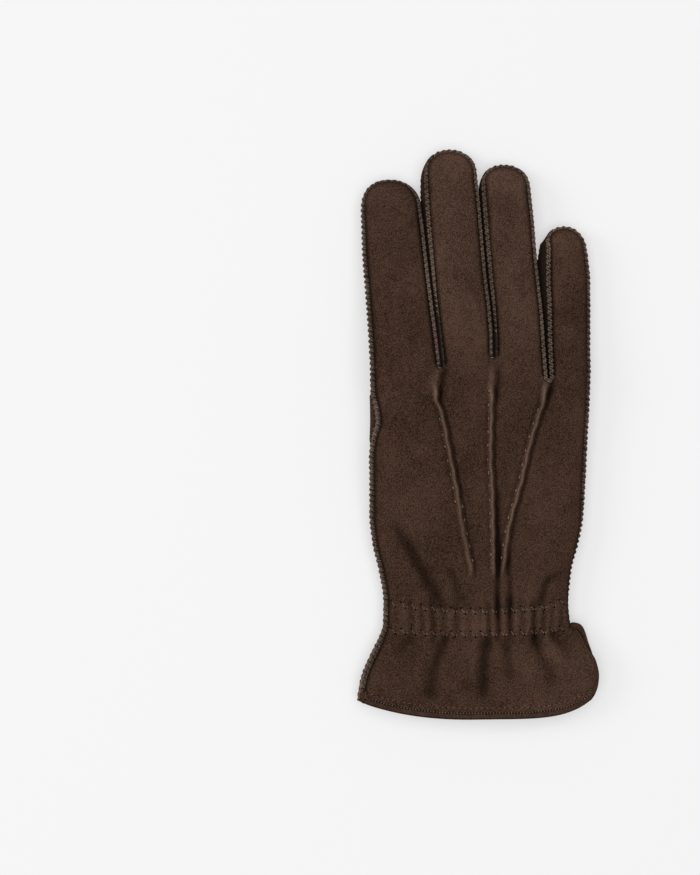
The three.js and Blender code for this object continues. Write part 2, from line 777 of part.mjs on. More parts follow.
// A fourchette: the V-shaped side wall between two fingers, sewn to the back and the palm.
function fourchetteSheet(gap) {
  const left = fingers[gap]; // finger on the thumb side of the gap
  const right = fingers[gap + 1];
  const down = left.slice(0, FINGER_ROWS + 1 + FORK_END / TIP_STEP).reverse();
  const up = right.slice(right.length - FINGER_ROWS - 1 - FORK_END / TIP_STEP).reverse();
  const line = [...down, ...crotches[gap], ...up];
  const sheet = new Sheet(-1);
  const rows = line.map((station) => {
    const upper = forkEdge(station, "back");
    const lower = forkEdge(station, "palm");
    const ids = [sheet.pair(upper.tipShown, upper.tipInner), sheet.pair(upper.shown, upper.inner)];
    const shown = upper.shown.map((value, i) => (value + lower.shown[i]) / 2);
    const inner = upper.inner.map((value, i) => (value + lower.inner[i]) / 2);
    ids.push(sheet.pair(shown, inner));
    ids.push(sheet.pair(lower.shown, lower.inner), sheet.pair(lower.tipShown, lower.tipInner));
    return ids;
  });
  rows.slice(1).forEach((row, i) => {
    const before = rows[i];
    for (let j = 0; j < row.length - 1; j += 1) {
      sheet.triangle(before[j], before[j + 1], row[j + 1]);
      sheet.triangle(before[j], row[j + 1], row[j]);
    }
  });
  return sheet;
}

function forkEdge(station, key) {
  const side = key === "back" ? 1 : -1;
  const { lip, panel } = seamFrame(station, key);
  const out = station[`${key}Out`];
  const inner = add(station[key], panel, -SEAM_GAP / 2);
  const drop = WALL * Math.tan(radians(45 - station.lift / 2));
  const shown = add(add(inner, out, WALL), [0, 0, -side], drop);
  const tipInner = add(inner, lip, LIP);
  return { inner, shown, tipInner, tipShown: add(tipInner, panel, -WALL) };
}

// The bound hem: a folded strip over a panel's edge, left clear of the side seam.
function bindingGeometry(sheet, skipStart, skipEnd) {
  const faces = sheet.faces();
  const edge = sheet.hem.slice(skipStart, sheet.hem.length - skipEnd).map((id) => faces[id]);
  const inside = SEAM_GAP;
  const outside = SEAM_GAP + BINDING_WALL;
  const corner = 0.45 * BINDING_WALL;
  const profile = [
    [-BINDING_DEPTH, inside],
    [inside, inside],
    [inside, -WALL - inside],
    [-BINDING_DEPTH, -WALL - inside],
    [-BINDING_DEPTH, -WALL - outside],
    [outside - corner, -WALL - outside],
    [outside, -WALL - outside + corner],
    [outside, outside - corner],
    [outside - corner, outside],
    [-BINDING_DEPTH, outside],
  ];
  const positions = [];
  edge.forEach((face, i) => {
    const before = edge[Math.max(0, i - 1)].shown;
    const after = edge[Math.min(edge.length - 1, i + 1)].shown;
    const along = unit(add(after, before, -1));
    const normal = unit(add(face.shown, face.inner, -1));
    const out = unit(sheet.up > 0 ? cross(along, normal) : cross(normal, along));
    const level = unit(sheet.up > 0 ? cross(out, along) : cross(along, out));
    for (const [o, n] of profile) positions.push(...add(add(face.shown, out, o), level, n));
  });
  const sides = profile.length;
  const index = [];
  for (let i = 0; i < edge.length - 1; i += 1) {
    for (let j = 0; j < sides; j += 1) {
      const a = i * sides + j;
      const b = i * sides + ((j + 1) % sides);
      index.push(a, b, b + sides, a, b + sides, a + sides);
    }
  }
  const flat = THREE.ShapeUtils.triangulateShape(profile.map(([x, y]) => new THREE.Vector2(x, y)), []);
  const last = (edge.length - 1) * sides;
  for (const [a, b, c] of flat) index.push(a, c, b, a + last, b + last, c + last);
  const geometry = indexed(positions, index);
  return volume(geometry) < 0 ? turned(geometry) : geometry;
}

function volume(geometry) {
  const p = geometry.getAttribute("position").array;
  const index = geometry.getIndex().array;
  let sum = 0;
  for (let i = 0; i < index.length; i += 3) {
    const [a, b, c] = [0, 1, 2].map((k) => Array.from(p.slice(index[i + k] * 3, index[i + k] * 3 + 3)));
    const n = cross(b, c);
    sum += a[0] * n[0] + a[1] * n[1] + a[2] * n[2];
  }
  return sum / 6;
}

function turned(geometry) {
  const index = Array.from(geometry.getIndex().array);
  for (let i = 0; i < index.length; i += 3) [index[i + 1], index[i + 2]] = [index[i + 2], index[i + 1]];
  geometry.setIndex(index);
  geometry.computeVertexNormals();
  return geometry;
}

// A closed tube of the thumb's form, grown by a clearance (negative: shrunk).
function thumbForm(grow) {
  const rings = THUMB.map((row) => ({ ...row }));
  rings[0].y -= grow < 0 ? 6 : 0;
  const steepest = Math.cos(Math.PI / THUMB_SIDES); // so that the flat underside lies at "low"
  const positions = [];
  for (const ring of rings) {
    const half = Math.max(0.4, ring.half + grow);
    const tall = Math.max(0.4, (ring.high - ring.low) / 2 + grow);
    const middle = (ring.high + ring.low) / 2;
    for (let i = 0; i < THUMB_SIDES; i += 1) {
      const turn = (2 * Math.PI * i) / THUMB_SIDES;
      const power = 2 / THUMB_ROUND;
      const dx = half * Math.sign(Math.cos(turn)) * Math.abs(Math.cos(turn)) ** power;
      const dz = tall * Math.sign(Math.sin(turn)) * (Math.abs(Math.sin(turn)) / steepest) ** power;
      positions.push(ring.x + dx, ring.y + (ring.y > 30 ? grow : 0), middle + dz);
    }
  }
  const last = rings.length - 1;
  const count = rings.length * THUMB_SIDES;
  const tip = rings[last];
  positions.push(rings[0].x, rings[0].y, (rings[0].high + rings[0].low) / 2);
  positions.push(tip.x, tip.y + 1 + grow, (tip.high + tip.low) / 2);
  const index = [];
  for (let i = 0; i < THUMB_SIDES; i += 1) {
    const j = (i + 1) % THUMB_SIDES;
    index.push(count, i, j, count + 1, last * THUMB_SIDES + j, last * THUMB_SIDES + i);
    for (let k = 0; k < last; k += 1) {
      const a = k * THUMB_SIDES;
      const b = a + THUMB_SIDES;
      index.push(a + i, b + i, b + j, a + i, b + j, a + j);
    }
  }
  const geometry = indexed(positions, index);
  return volume(geometry) < 0 ? turned(geometry) : geometry;
}

// Everything below the palm's ramp raised by a clearance, as a block across the thumb side.
function belowPalm(raise) {
  const rows = [-60, -50, -44, -40, -36, -32, -28, -24, -20, -16, -12, -8, -4, 0, 10, 60];
  const shape = new THREE.Shape();
  shape.moveTo(-60, -20);
  shape.lineTo(60, -20);
  for (const y of [...rows].reverse()) shape.lineTo(y, section.lowL(Math.min(y, 31)) + raise);
  shape.closePath();
  const block = new THREE.ExtrudeGeometry(shape, { depth: 80, bevelEnabled: false });
  // The shape is drawn in Y and Z, and is extruded along X.
  block.applyMatrix4(new THREE.Matrix4().set(0, 0, 1, -70, 1, 0, 0, 0, 0, 1, 0, 0, 0, 0, 0, 1));
  return block;
}

const wasm = await Module();
wasm.setup();

function solid(geometry) {
  const bare = geometry.clone();
  bare.deleteAttribute("normal");
  bare.deleteAttribute("uv");
  const merged = mergeVertices(bare, 1e-4);
  return new wasm.Manifold(
    new wasm.Mesh({
      numProp: 3,
      vertProperties: merged.getAttribute("position").array,
      triVerts: new Uint32Array(merged.getIndex().array),
    }),
  );
}

function geometryOf(manifold) {
  const mesh = manifold.getMesh();
  return indexed(Array.from(mesh.vertProperties), Array.from(mesh.triVerts));
}

function piece(name, geometry, finish) {
  const mesh = new THREE.Mesh(geometry, new THREE.MeshStandardMaterial(finish));
  mesh.name = name;
  return mesh;
}

const back = panelSheet("back");
const palm = panelSheet("palm");
const thumbTube = solid(thumbForm(0)).subtract(solid(thumbForm(-WALL)));
const thumb = thumbTube.intersect(solid(belowPalm(WALL + THUMB_RIM)));
const thumbHole = solid(thumbForm(SEAM_GAP)).intersect(solid(belowPalm(WALL + 3)));

const glove = new THREE.Group();
glove.name = "glove";
glove.add(
  piece("back_panel", back.geometry(), SUEDE),
  piece("palm_panel", geometryOf(solid(palm.geometry()).subtract(thumbHole)), SUEDE),
  piece("thumb", geometryOf(thumb), SUEDE),
  piece("fourchette_index_middle", fourchetteSheet(0).geometry(), SUEDE),
  piece("fourchette_middle_ring", fourchetteSheet(1).geometry(), SUEDE),
  piece("fourchette_ring_little", fourchetteSheet(2).geometry(), SUEDE),
  piece("binding_back", bindingGeometry(back, 3, 1), TRIM),
  piece("binding_palm", bindingGeometry(palm, 2, 1), TRIM),
);

export default glove;
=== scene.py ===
"""A right-hand suede dress glove lying palm down on a pale table.

Every surface is worked out with numpy from the glove's named sizes: the sewn line that runs round
the fingers, the heights of the hand's cross-sections, and the tucks, folds and gathers of the
leather. Lengths are millimetres until a mesh is written. +X points to the little finger, +Y to the
fingertips and +Z up.
"""

import bpy
import numpy as np
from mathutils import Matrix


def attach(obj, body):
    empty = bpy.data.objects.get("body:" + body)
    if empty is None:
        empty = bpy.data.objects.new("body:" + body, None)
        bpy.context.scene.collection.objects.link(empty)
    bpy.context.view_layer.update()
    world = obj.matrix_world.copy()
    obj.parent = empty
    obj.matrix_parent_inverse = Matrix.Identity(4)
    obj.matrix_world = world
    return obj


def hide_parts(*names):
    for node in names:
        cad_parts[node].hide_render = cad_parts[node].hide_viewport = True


MM = 0.001
SEED = 11

# Leather and seams
WALL = 1.0
SEAM_GAP = 0.06
LIP = 2.0  # how far a seam's raised edges stand out
TIP_SIZE = 0.72  # the share of it that is left round a fingertip
LOW_SIZE = 0.6  # at most this share is left beside a slit on the palm
HIDDEN_SIZE = 0.42  # raised edges of a smaller share hide their stitches
DIM_SIZE = (0.66, 0.36)  # raised edges this small take painted shade between these two shares, where they lie low in the slits
LOW_SHADE = {1: 0.7, -1: 2.0}  # by so much on the panel's side (1) and on the fourchette's (-1)
PINCH = 0.5  # how far a stitch draws the raised edges in
SIDE_EVEN = 0.4  # less by this share on the hand's left side
SIDE_RUN = (60, 20)  # the y from where it begins to where it is in full
BRAID_EVEN = 0.7  # and by this one on the cuff's, where the edge is one even braid
BRAID_RUN = (-68, -82)  # and the same for it
LEFT_SIDE = -35  # a seam left of this x is on that side
ROLL = 38  # degrees that the thumb side's seam turns up
EDGE_ROLL = 15  # the little finger's
ROOT_LIFT = 50  # a panel leaves its raised edge as if it stood up at least so many degrees
SEAM_IN = 0.3  # how far the sewn line lies inside the lines of the tables below
TWIST = 0.75  # how far each overcast stitch leans along the seam
SLIT = 1.55  # half width of the slit between two fingers
CREST_BACK = 2.2  # how far a finger's top stands above its upper seams
CREST_PALM = 1.0
PALM_STEP = (-0.18, 0.44)  # between these shares across, the palm falls from its thumb side's height
TUCKS_END = (-28, -60)  # the columns leave the tucks between these y
HAND_ROUND = 3.2  # superellipse powers of the cross-sections and of a fingertip's outline
FINGER_ROUND = 2.4
TIP_ROUND = 2.3
FORK_LIFT = 85  # degrees that the raised edges beside a fourchette stand up
POINT_LIFT = 35  # and where it ends
FORK_END = 38  # degrees round the tip where a fourchette ends
FORK_CLOSE = 20  # degrees beyond that in which its two seams come together
FORK_POINT = 1.3  # how far apart they are where it ends
POINT_FADE = 10  # and the degrees in which that is made up
TIP_TURN = 50  # degrees round the tip in which the seam's roll becomes the tip's
TIP_SHRINK = 40  # and its raised edges' share becomes TIP_SIZE
FORK_BULGE = 0.65  # how far a fourchette bulges into its slit
SPLIT_Y = 31  # the hand's sections end here, at the fingers' roots
BAND_Y = -88  # the wrist's lower edge, where the cuff and its vent begin

# Mesh steps
STEP = 1.0
TIP_STEP = 4
FINGER_STEPS = 72
ACROSS = 14  # columns from a finger's middle to its seam
TUCK_COLUMNS = 9
CUFF_ROWS = 38
SEAM_STEP = 0.4


def table(header, *rows):
    """Rows of numbers as a dict of columns, named by the header's words."""
    return dict(zip(header.split(), np.array(rows, float).T))


# The hand's cross-sections: seam lines left and right, seam heights, the back's height over the
# index, middle and little-finger thirds, and the palm's height on the thumb side and the other.
SECTIONS = table(
    "y left right seam_l seam_r top_l top_c top_r low_l low_r",
    (31, -48.5, 49.7, 16.0, 9.2, 22.2, 20.4, 17.2, 10.3, 1.0),
    (20, -48.3, 49.3, 15.6, 8.6, 22.7, 21.0, 17.4, 10.3, 0.8),
    (13, -46.8, 49.1, 15.2, 8.2, 22.8, 21.0, 17.4, 10.3, 0.7),
    (6, -46.0, 48.7, 14.8, 8.0, 22.8, 20.9, 17.2, 10.3, 0.6),
    (-1, -47.9, 48.3, 14.0, 8.0, 22.6, 20.7, 17.0, 10.2, 0.5),
    (-10, -48.9, 47.9, 12.9, 7.8, 22.0, 20.3, 16.8, 9.4, 0.5),
    (-22, -48.7, 47.3, 10.9, 7.4, 20.6, 19.4, 16.4, 6.4, 0.4),
    (-36, -48.7, 46.3, 8.7, 7.0, 18.4, 18.2, 15.7, 2.6, 0.3),
    (-50, -47.2, 43.8, 7.3, 6.8, 16.8, 17.0, 14.9, 0.9, 0.2),
    (-62, -44.4, 40.8, 6.8, 6.6, 15.6, 15.8, 14.3, 0.4, 0.2),
    (-77, -42.2, 39.6, 6.6, 6.6, 14.0, 14.2, 13.4, 0.2, 0.2),
    (-88, -42.4, 40.6, 6.6, 6.6, 13.6, 13.8, 13.2, 0.2, 0.2),
)

# How many degrees the two side seams turn up, or under where they are below 0.
ROLLS = table(
    "y left right",
    (31, 38, 15),
    (19, 43, 15),
    (8, 54, 15),
    (-3, 43, 15),
    (-14, 38, 14),
    (-30, 38, 4),
    (-44, 38, -40),
    (-56, 38, -66),
    (-70, 38, -68),
    (-76, 38, -84),
    (-88, 38, -84),
)

# The cuff from the wrist down: t from the band to the hem, both edges and their heights.
CUFF = table(
    "t left_x left_y back_x back_y palm_x palm_y seam_l back_z palm_z",
    (0.0, -42.4, -88, 40.6, -88, 40.6, -88, 6.6, 6.6, 6.6),
    (0.06, -43.2, -90.4, 42.6, -88.3, 43.6, -86.9, 6.5, 7.4, 6.2),
    (0.15, -44.6, -94, 45.3, -90.6, 46.8, -87.9, 6.4, 8.6, 5.6),
    (0.35, -48.0, -101, 48.8, -97, 50.0, -95.8, 6.0, 9.6, 4.0),
    (0.55, -51.2, -108, 53.0, -104, 52.0, -102, 5.6, 9.8, 2.2),
    (0.75, -53.0, -114, 54.3, -110.5, 52.4, -109, 5.2, 9.6, 1.6),
    (0.9, -53.5, -118, 53.9, -114.9, 51.6, -113.2, 5.0, 9.0, 1.6),
    (0.97, -53.3, -121, 52.8, -118.3, 50.4, -116.4, 4.85, 8.6, 1.6),
    (1.0, -53.2, -122.2, 51.4, -120.6, 48.8, -118.6, 4.8, 8.4, 1.6),
)
CUFF_TOP = (13.6, 13.4)  # height of the cuff's back between its edges, at the band and the hem
CUFF_LOW = (0.2, 1.45)  # and of its palm side
HEM_DROP = {"back": 7.65, "palm": 6.2}  # how far the hem bows down between its corners
HEM_SQUARE = (2.2, 5.2)  # superellipse powers of the hem's two corners
FLAP_ROUND = 4  # the power by which the cuff falls to its free edge

# Long folds of the leather: from and to, how deep and how wide.
FOLDS = table(
    "from_x from_y to_x to_y depth half",
    (-15.2, -92.5, -20.6, -106, 1.4, 2.2),
    (-20.9, -108, -22.3, -119, 1.3, 3.3),
    (2.8, -93, 1.8, -118, 1.5, 2.8),
    (-1.3, -93, -3.2, -107, -0.6, 2.2),
    (11.8, -94, 14.5, -109, 1.1, 2.6),
    (25.4, -91.5, 28.4, -102, 1.3, 1.9),
    (29.4, -104, 34, -113, 1.2, 2.9),
    (30.8, -92, 35.5, -101, -0.5, 2.0),
    (33.6, -90.5, 37.6, -96, 1.0, 1.8),
    (38.3, -97, 42.5, -101, 0.8, 2.3),
    (-31.8, -92, -37, -99, 0.9, 2.2),
    (-37.3, -43, -18.2, -75.5, 1.5, 2.7),
    (-13, -62, -7.5, -76, 1.0, 1.9),
    (8.9, -26, 8.3, -60, 1.0, 1.5),
    (8.6, -50, 8.3, -79, 1.5, 1.1),
    (13.6, -56, 14.6, -79, 1.2, 1.2),
    (40, -62, 32, -66, 1.1, 1.7),
    (31.5, -66, 27.6, -77, 1.2, 1.5),
)

# The small gathers between the two rows of elastic: place, lean, depth and half width, and how far
# each runs on into the hand and into the cuff.
GATHERS = table(
    "x lean depth half up down",
    (-38.5, 0.3, 0.55, 1.2, 4, 5),
    (-31.1, 0.6, 0.85, 1.2, 4, 6),
    (-26.1, 0.3, 0.60, 1.0, 3, 4),
    (-21.0, 0.8, 1.10, 1.1, 6, 8),
    (-16.2, 0.5, 0.70, 1.0, 3, 6),
    (-10.4, -0.3, 0.80, 1.2, 7, 4),
    (-4.6, -0.5, 0.50, 1.2, 4, 5),
    (0.2, -0.3, 0.45, 1.1, 3, 4),
    (4.4, 0.3, 1.05, 1.0, 5, 7),
    (8.8, 0.4, 1.35, 1.1, 9, 5),
    (14.2, 0.6, 1.35, 1.2, 9, 6),
    (19.8, 0.0, 0.70, 1.2, 4, 5),
    (25.2, -0.3, 1.15, 1.1, 5, 8),
    (29.6, -0.4, 0.90, 1.0, 8, 5),
    (33.8, -0.5, 0.75, 1.0, 4, 6),
    (38.0, -0.4, 0.80, 1.0, 4, 4),
)
# The two zigzag rows that hold the elastic.
ELASTIC = table(
    "x upper lower",
    (-41, -77.0, -89.5),
    (-4, -80.3, -90.9),
    (26, -79.0, -90.0),
    (40, -75.9, -88.3),
)
ELASTIC_GROOVE = (0.35, 1.3)  # how deep the rows draw the leather in, and how wide
GATHER_DEEP = 1.15
GATHER_WIDE = 1.3
GATHER_LONG = 1.25  # times its own length, where a gather has gone
GATHER_OPEN = 0.5  # how far it widens on its way into the cuff
FOLD_ENDS = ((-0.25, 0.15), (1.3, 0.9))  # shares of its length in which a fold begins and ends

# The leather's soft unevenness: waves, their height, radians a millimetre along x and y, and start.
WAVES = table(
    "high by_x by_y start",
    (0.16, 0.11, 0.06, 0.8),
    (0.13, -0.05, 0.09, 2.1),
    (0.07, 0.23, -0.17, 0),
    (0.05, 0.12, 0.31, 1.3),
)

# The tucks' centre lines from each finger gap to the wrist, and their ridges.
TUCKS = (
    table("y x", (31, -19.0), (23.7, -20.1), (17, -20.1), (13, -18.6), (9, -17.35), (4.9, -16.35),
          (-3.2, -14.85), (-11.3, -13.25), (-19.4, -11.6), (-27.6, -10.05), (-35.7, -8.9),
          (-62.2, -3.6)),
    table("y x", (34, 5.9), (16.3, 5.2), (-9, 4.75), (-24, 5.6), (-43, 6.1), (-62, 6.6)),
    table("y x", (25, 30.4), (17, 29.4), (6.4, 26.0), (-6.7, 22.2), (-20, 19.2), (-43, 13.2),
          (-64.6, 10.4)),
)
TUCK_HEIGHT = 1.45
TUCK_HALF = 0.85
TUCK_POWER = 2.6
TUCK_SHOULDER = 2.3  # half width of the strip of columns that keeps to a tuck
TUCK_CROWDED = 0.4  # and at most this share of the way to the next tuck
TUCK_SWAY = (0.16, 0.72)  # how far a tuck sways, and radians a millimetre
TUCK_TOP = (17, 25)
TUCK_FOOT = (-67, -59)
RUN_ON_FOOT = (13, 21)
RUN_ON_TOP = (27, 34)
# The dips at both sides of a tuck, with painted shade in them, and a painted highlight on its top, as bell
# # curves across it, and the same for the soft ridge in which it runs on towards the fingers.
TUCK_FORM = table(
    "at half rise shade",
    (-1.9, 0.8, -0.3, 0.4),
    (1.75, 0.9, -0.75, 1.0),
    (-0.2, 0.85, 0, -2.2),
)
RUN_ON_FORM = table(
    "at half rise shade",
    (-0.5, 2.2, 0.7, 0),
    (2.8, 1.6, -0.4, 0),
    (2.6, 1.7, 0, 1.0),
    (-0.7, 1.6, 0, -1.5),
)

# How the colour is darkened by painted shade, lightened by painted highlights, and made paler
CREASE_SHADE = (1.3, 1.05)  # painted shade in the crease beside a seam, and how wide
# painted shade in the folds, and a painted highlight on the two with a negative depth
FOLD_SHADE = 0.65
# painted shade in the gathers,
GATHER_SHADE = 0.45
BAND_SHADE = 0.6  # more than that between the two rows of elastic
# painted shade in the palm's gathers
PALM_SHADE = 0.3
TIP_PALER = 0.45  # the colour is made paler by this at the fingertips,
FLAP_PALER = 0.5  # on the cuff's free flap
BAND_HIGHLIGHT = 0.6  # and lighter by this between the two rows of elastic, a painted highlight on the gathers' ribs
PALER_EARLY = 6  # a fingertip's paler tone starts this far before its arc,
PALER_RUN = (30, 60)  # a whole finger's between these y
FLAP_RUN = ((6, 31), (-93, -103))  # and the flap's between these x and these y
PALM_GATHER = 0.5  # the share of the gathers' depth that the palm has
PALM_IN = 0.15  # how far the palm is drawn in everywhere

# The fingers: seam lines, the height of the top and the underside from the root (t = 0) to where
# the tip's arc starts (t = 1), which sides have a fourchette, and the underside's lean.
FINGERS = (
    dict(tip=116.5, arch=102.5, fork_left=False, fork_right=True, paler=0.0, skew=-0.9, tip_roll=6,
         lean=table("t out", (0, 0), (1, 0)),
         ropes=(table("y size", (31, 1.0), (70, 1.0), (103, 0.8)),
                table("y size", (30, 0.4), (36, 0.6), (60, 0.75), (85, 0.7), (103, 0.6))),
         left=table("y x", (31, -48.5), (44, -49.2), (67, -50.8), (83, -52.1), (103, -53.0)),
         right=table("y x", (32, -18.9), (44, -20.3), (67, -23.2), (83, -25.0), (95, -26.3),
                     (103, -27.4)),
         heights=table("t top belly", (0, 21.9, 10.2), (0.18, 20.8, 8.6), (0.5, 17.4, 3.6),
                       (0.75, 15.2, 1.0), (1, 14.2, 0))),
    dict(tip=130.5, arch=117.5, fork_left=True, fork_right=True, paler=0.5, skew=-0.3, tip_roll=24,
         lean=table("t out", (0, 0), (0.5, -0.4), (0.75, -1.3), (0.9, -1.8), (1, -1.3)),
         ropes=(table("y size", (32, 0.3), (55, 0.42), (72, 0.65), (98, 0.95), (118, 0.9)),
                table("y size", (36, 0.5), (60, 0.7), (118, 0.7))),
         left=table("y x", (32, -16.5), (44, -17.8), (67, -20.3), (83, -21.7), (95, -22.8),
                    (106, -23.6), (118, -24.3)),
         right=table("y x", (36.6, 5.05), (44, 4.95), (60, 3.8), (71, 2.5), (90, 0.9),
                     (109, -0.7), (118, -1.8)),
         heights=table("t top belly", (0, 20.6, 7.4), (0.18, 19.2, 5.8), (0.5, 16.0, 2.0),
                       (0.75, 14.4, 0.4), (1, 13.8, 0))),
    dict(tip=123.6, arch=112.5, fork_left=True, fork_right=True, paler=0.5, skew=-0.9, tip_roll=24,
         lean=table("t out", (0, 0), (0.5, -0.5), (0.75, -0.8), (1, -0.95)),
         ropes=(table("y size", (36, 0.32), (52, 0.5), (72, 0.85), (90, 0.95), (113, 0.9)),
                table("y size", (26, 0.85), (45, 0.75), (70, 0.6), (113, 0.7))),
         left=table("y x", (36.6, 7.65), (44, 7.55), (60, 6.7), (71, 5.6), (90, 4.0), (109, 2.5),
                    (113, 2.2)),
         right=table("y x", (26.5, 30.0), (41, 29.0), (56, 28.1), (71, 26.6), (83, 25.4),
                     (98, 24.25), (113, 22.7)),
         heights=table("t top belly", (0, 18.8, 3.0), (0.18, 17.6, 2.2), (0.5, 14.9, 0.5),
                       (0.7, 13.8, 0), (1, 13.2, 0))),
    dict(tip=95.2, arch=86.0, fork_left=True, fork_right=False, paler=0.0, skew=-0.9, tip_roll=24,
         lean=table("t out", (0, 0), (0.5, -2.6), (0.72, -3.8), (0.88, -3.7), (1, -2.8)),
         ropes=(table("y size", (26, 1.0), (86, 1.05)), table("y size", (28, 0.95), (86, 0.9))),
         left=table("y x", (26.5, 33.1), (44, 32.5), (60, 32.4), (71, 31.9), (86, 32.1)),
         right=table("y x", (28, 49.7), (41, 49.6), (56, 49.8), (71, 49.8), (81, 49.0),
                     (86, 48.2)),
         heights=table("t top belly", (0, 17.4, 1.0), (0.18, 16.2, 0.6), (0.5, 14.0, 0),
                       (0.7, 13.2, 0), (1, 12.4, 0))),
)

# The thumb, a flattened tube folded under the palm, and the palm leather that shows beside it.
THUMB = table(
    "y x half low high",
    (-46, -32, 6.4, 3.4, 7.6),
    (-42, -32, 7.5, 2.6, 8.0),
    (-34, -32, 10.8, 1.2, 8.9),
    (-24, -31.8, 12.6, 0.3, 9.3),
    (-8, -31, 13.2, 0, 9.4),
    (10, -29.4, 13.2, 0, 9.4),
    (24, -28, 12.4, 0, 9.3),
    (32, -27.2, 10.6, 0.2, 8.9),
    (37.5, -26.7, 7.4, 1.2, 8.0),
    (40.5, -26.4, 3.4, 2.8, 6.4),
    (41.5, -26.3, 0.1, 4.5, 4.7),
)
THUMB_ROUND = 2.6
THUMB_SIDES = 72
THUMB_ROWS = 90
THUMB_SEAM_STEPS = (240, 160)  # of the seam round its hole and of the one along it
THUMB_RUN = (-44, 41.5)  # where the tube begins and ends
THUMB_TOP = 41.2  # and where its seam ends
THUMB_DENSE = 1.15  # its rows crowd towards the tip by this power
THUMB_PROUD = 0.6  # what stands further than this inside the palm is left out
MOUTH_RUN = (-45.9, 14.0)  # the thumb's hole lies between these
MOUTH_LEAN = (0, 0, -0.9)
THUMB_LEATHER = dict(reach=-50.0, lean=5.7, start=1.2, sag=2.2, wide=0.28, first=-18, last=26,
                     fade=8)
THUMB_HOLE = 0.8  # the palm is cut away inside this share of the thumb's section
NOTCH = dict(y=8, half=9, lip=0.5)  # there the left seam swings in, and its raised edges are longer
WRIST = dict(y=-62, half=13, lip=0.5)  # and the right seam's are longer here
NOTCH_CROSSED = (-1.1, 1.3)  # half widths of the notch between which the braid's crossed thread runs

# Stitches
OVERCAST_PITCH = 2.55
OVERCAST_FREE = {"back": 1, "thumb": 1.5}  # a seam's stitches start and end this far from its ends
THREAD = 0.24
BRAID_PITCH = 1.25
BRAID_FREE = 4  # the cuff's braid starts this far below the band
BRAID_THREAD = 0.17
BRAID_SLANT = 1.1
BRAID_WIDE = 1.05  # the first of the two crossed threads stands out further by this
ZIGZAG_PITCH = 4.55
ZIGZAG_HIGH = 2.6
ZIGZAG_SHADE = 0.35
ZIGZAG_RUN = (-40.4, 38.4)
ZIGZAG_TURN = 0.46  # the share of its pitch at which a zigzag turns up again
ZIGZAG_HOLE = 0.5
# The strokes down and up: which shares of them show, how far they lie above the leather, and radius.
ZIGZAG_STROKES = table("first last lift radius", (0.16, 0.9, 0.16, 0.16), (0.14, 0.42, 0.12, 0.18))
TUCK_PITCH = 6.15
TUCK_STITCH = dict(length=1.7, lift=0.2, radius=0.21, hole=0.36, uneven=0.2)
TUCK_STITCHES = (  # tuck, how far beside its ridge, first and last y
    (0, -1.5, 7.9, -29.5),
    (0, 1.3, -31.4, -62),
    (1, -1.25, 20.9, -60),
    (2, -1.3, 12.5, -60),
)
BINDING_WIDE = 1.6
BINDING_FORM = (0.8, 0.08, 0.95)  # thickness, gap to the leather, and how far its nose stands out
CORNER_TAB = 2.8  # wider by this where it covers the seam's end
CORNER_RUN = (3.6, 5.4)  # up to here along the strip
TAB_ROUND = 2.2  # the radius of its end
VENT_NARROW = 1.0  # narrower by this up the vent
VENT_RUN = (-119, -114)  # from here
NOSE_SHADE = {"back": 1.2, "palm": 0.0}  # painted shade round the nose below its top
HEM_PITCH = 1.38
# The rows along the hem: how far inside the binding's inner edge, pitch, radius and holes.
HEM_ROWS = table(
    "inside pitch radius hole",
    (0.36, HEM_PITCH, 0.19, 0.46),
    (2.7, 1.9 * HEM_PITCH, 0.11, 0.24),
)
HEM_ROW_START = 2.2  # beyond the binding's wide end
HEM_ROW_TOP = {"back": -115.5, "palm": -80}  # where they end beside the vent
# The short row down the binding's wide end.
TAB_ROW = dict(top=-117.6, low=-122, pitch=1.2, x=-51.4, slope=0.03, lift=1.05, radius=0.14, hole=0.42)
PIT_DEEP = 0.25


# Small maths
def mix(a, b, t):
    """a where t is 0, b where it is 1."""
    return a + (b - a) * t


def smooth(t):
    """The S-curve 3t^2 - 2t^3, held at 0 and 1 outside them."""
    c = np.clip(t, 0, 1)
    return c * c * (3 - 2 * c)


def ramp(value, start, stop):
    """How far a value has come from start (0) to stop (1), as an S-curve."""
    return smooth((value - start) / (stop - start))


def bell(d, half):
    """A bell curve exp(-(d / half)^2)."""
    return np.exp(-((d / half) ** 2))


def dome(rho, power):
    """A superellipse's height: (1 - |rho|^power)^(1 / power)."""
    return np.clip(1 - np.abs(rho) ** power, 0, None) ** (1 / power)


def unit(v):
    """Vectors divided by their length."""
    return v / np.maximum(np.linalg.norm(v, axis=-1, keepdims=True), 1e-12)


def stack(*parts):
    """Coordinates as points: the parts are spread to one shape and put side by side."""
    return np.stack(np.broadcast_arrays(*parts), axis=-1).astype(float)


def run_length(points):
    """How far along a path each of its points lies."""
    return np.concatenate([[0], np.cumsum(np.linalg.norm(np.diff(points, axis=0), axis=1))])


def read_off(at, length, rows):
    """Rows of three numbers read off at lengths along a path."""
    return stack(*(np.interp(at, length, rows[:, k]) for k in range(3)))


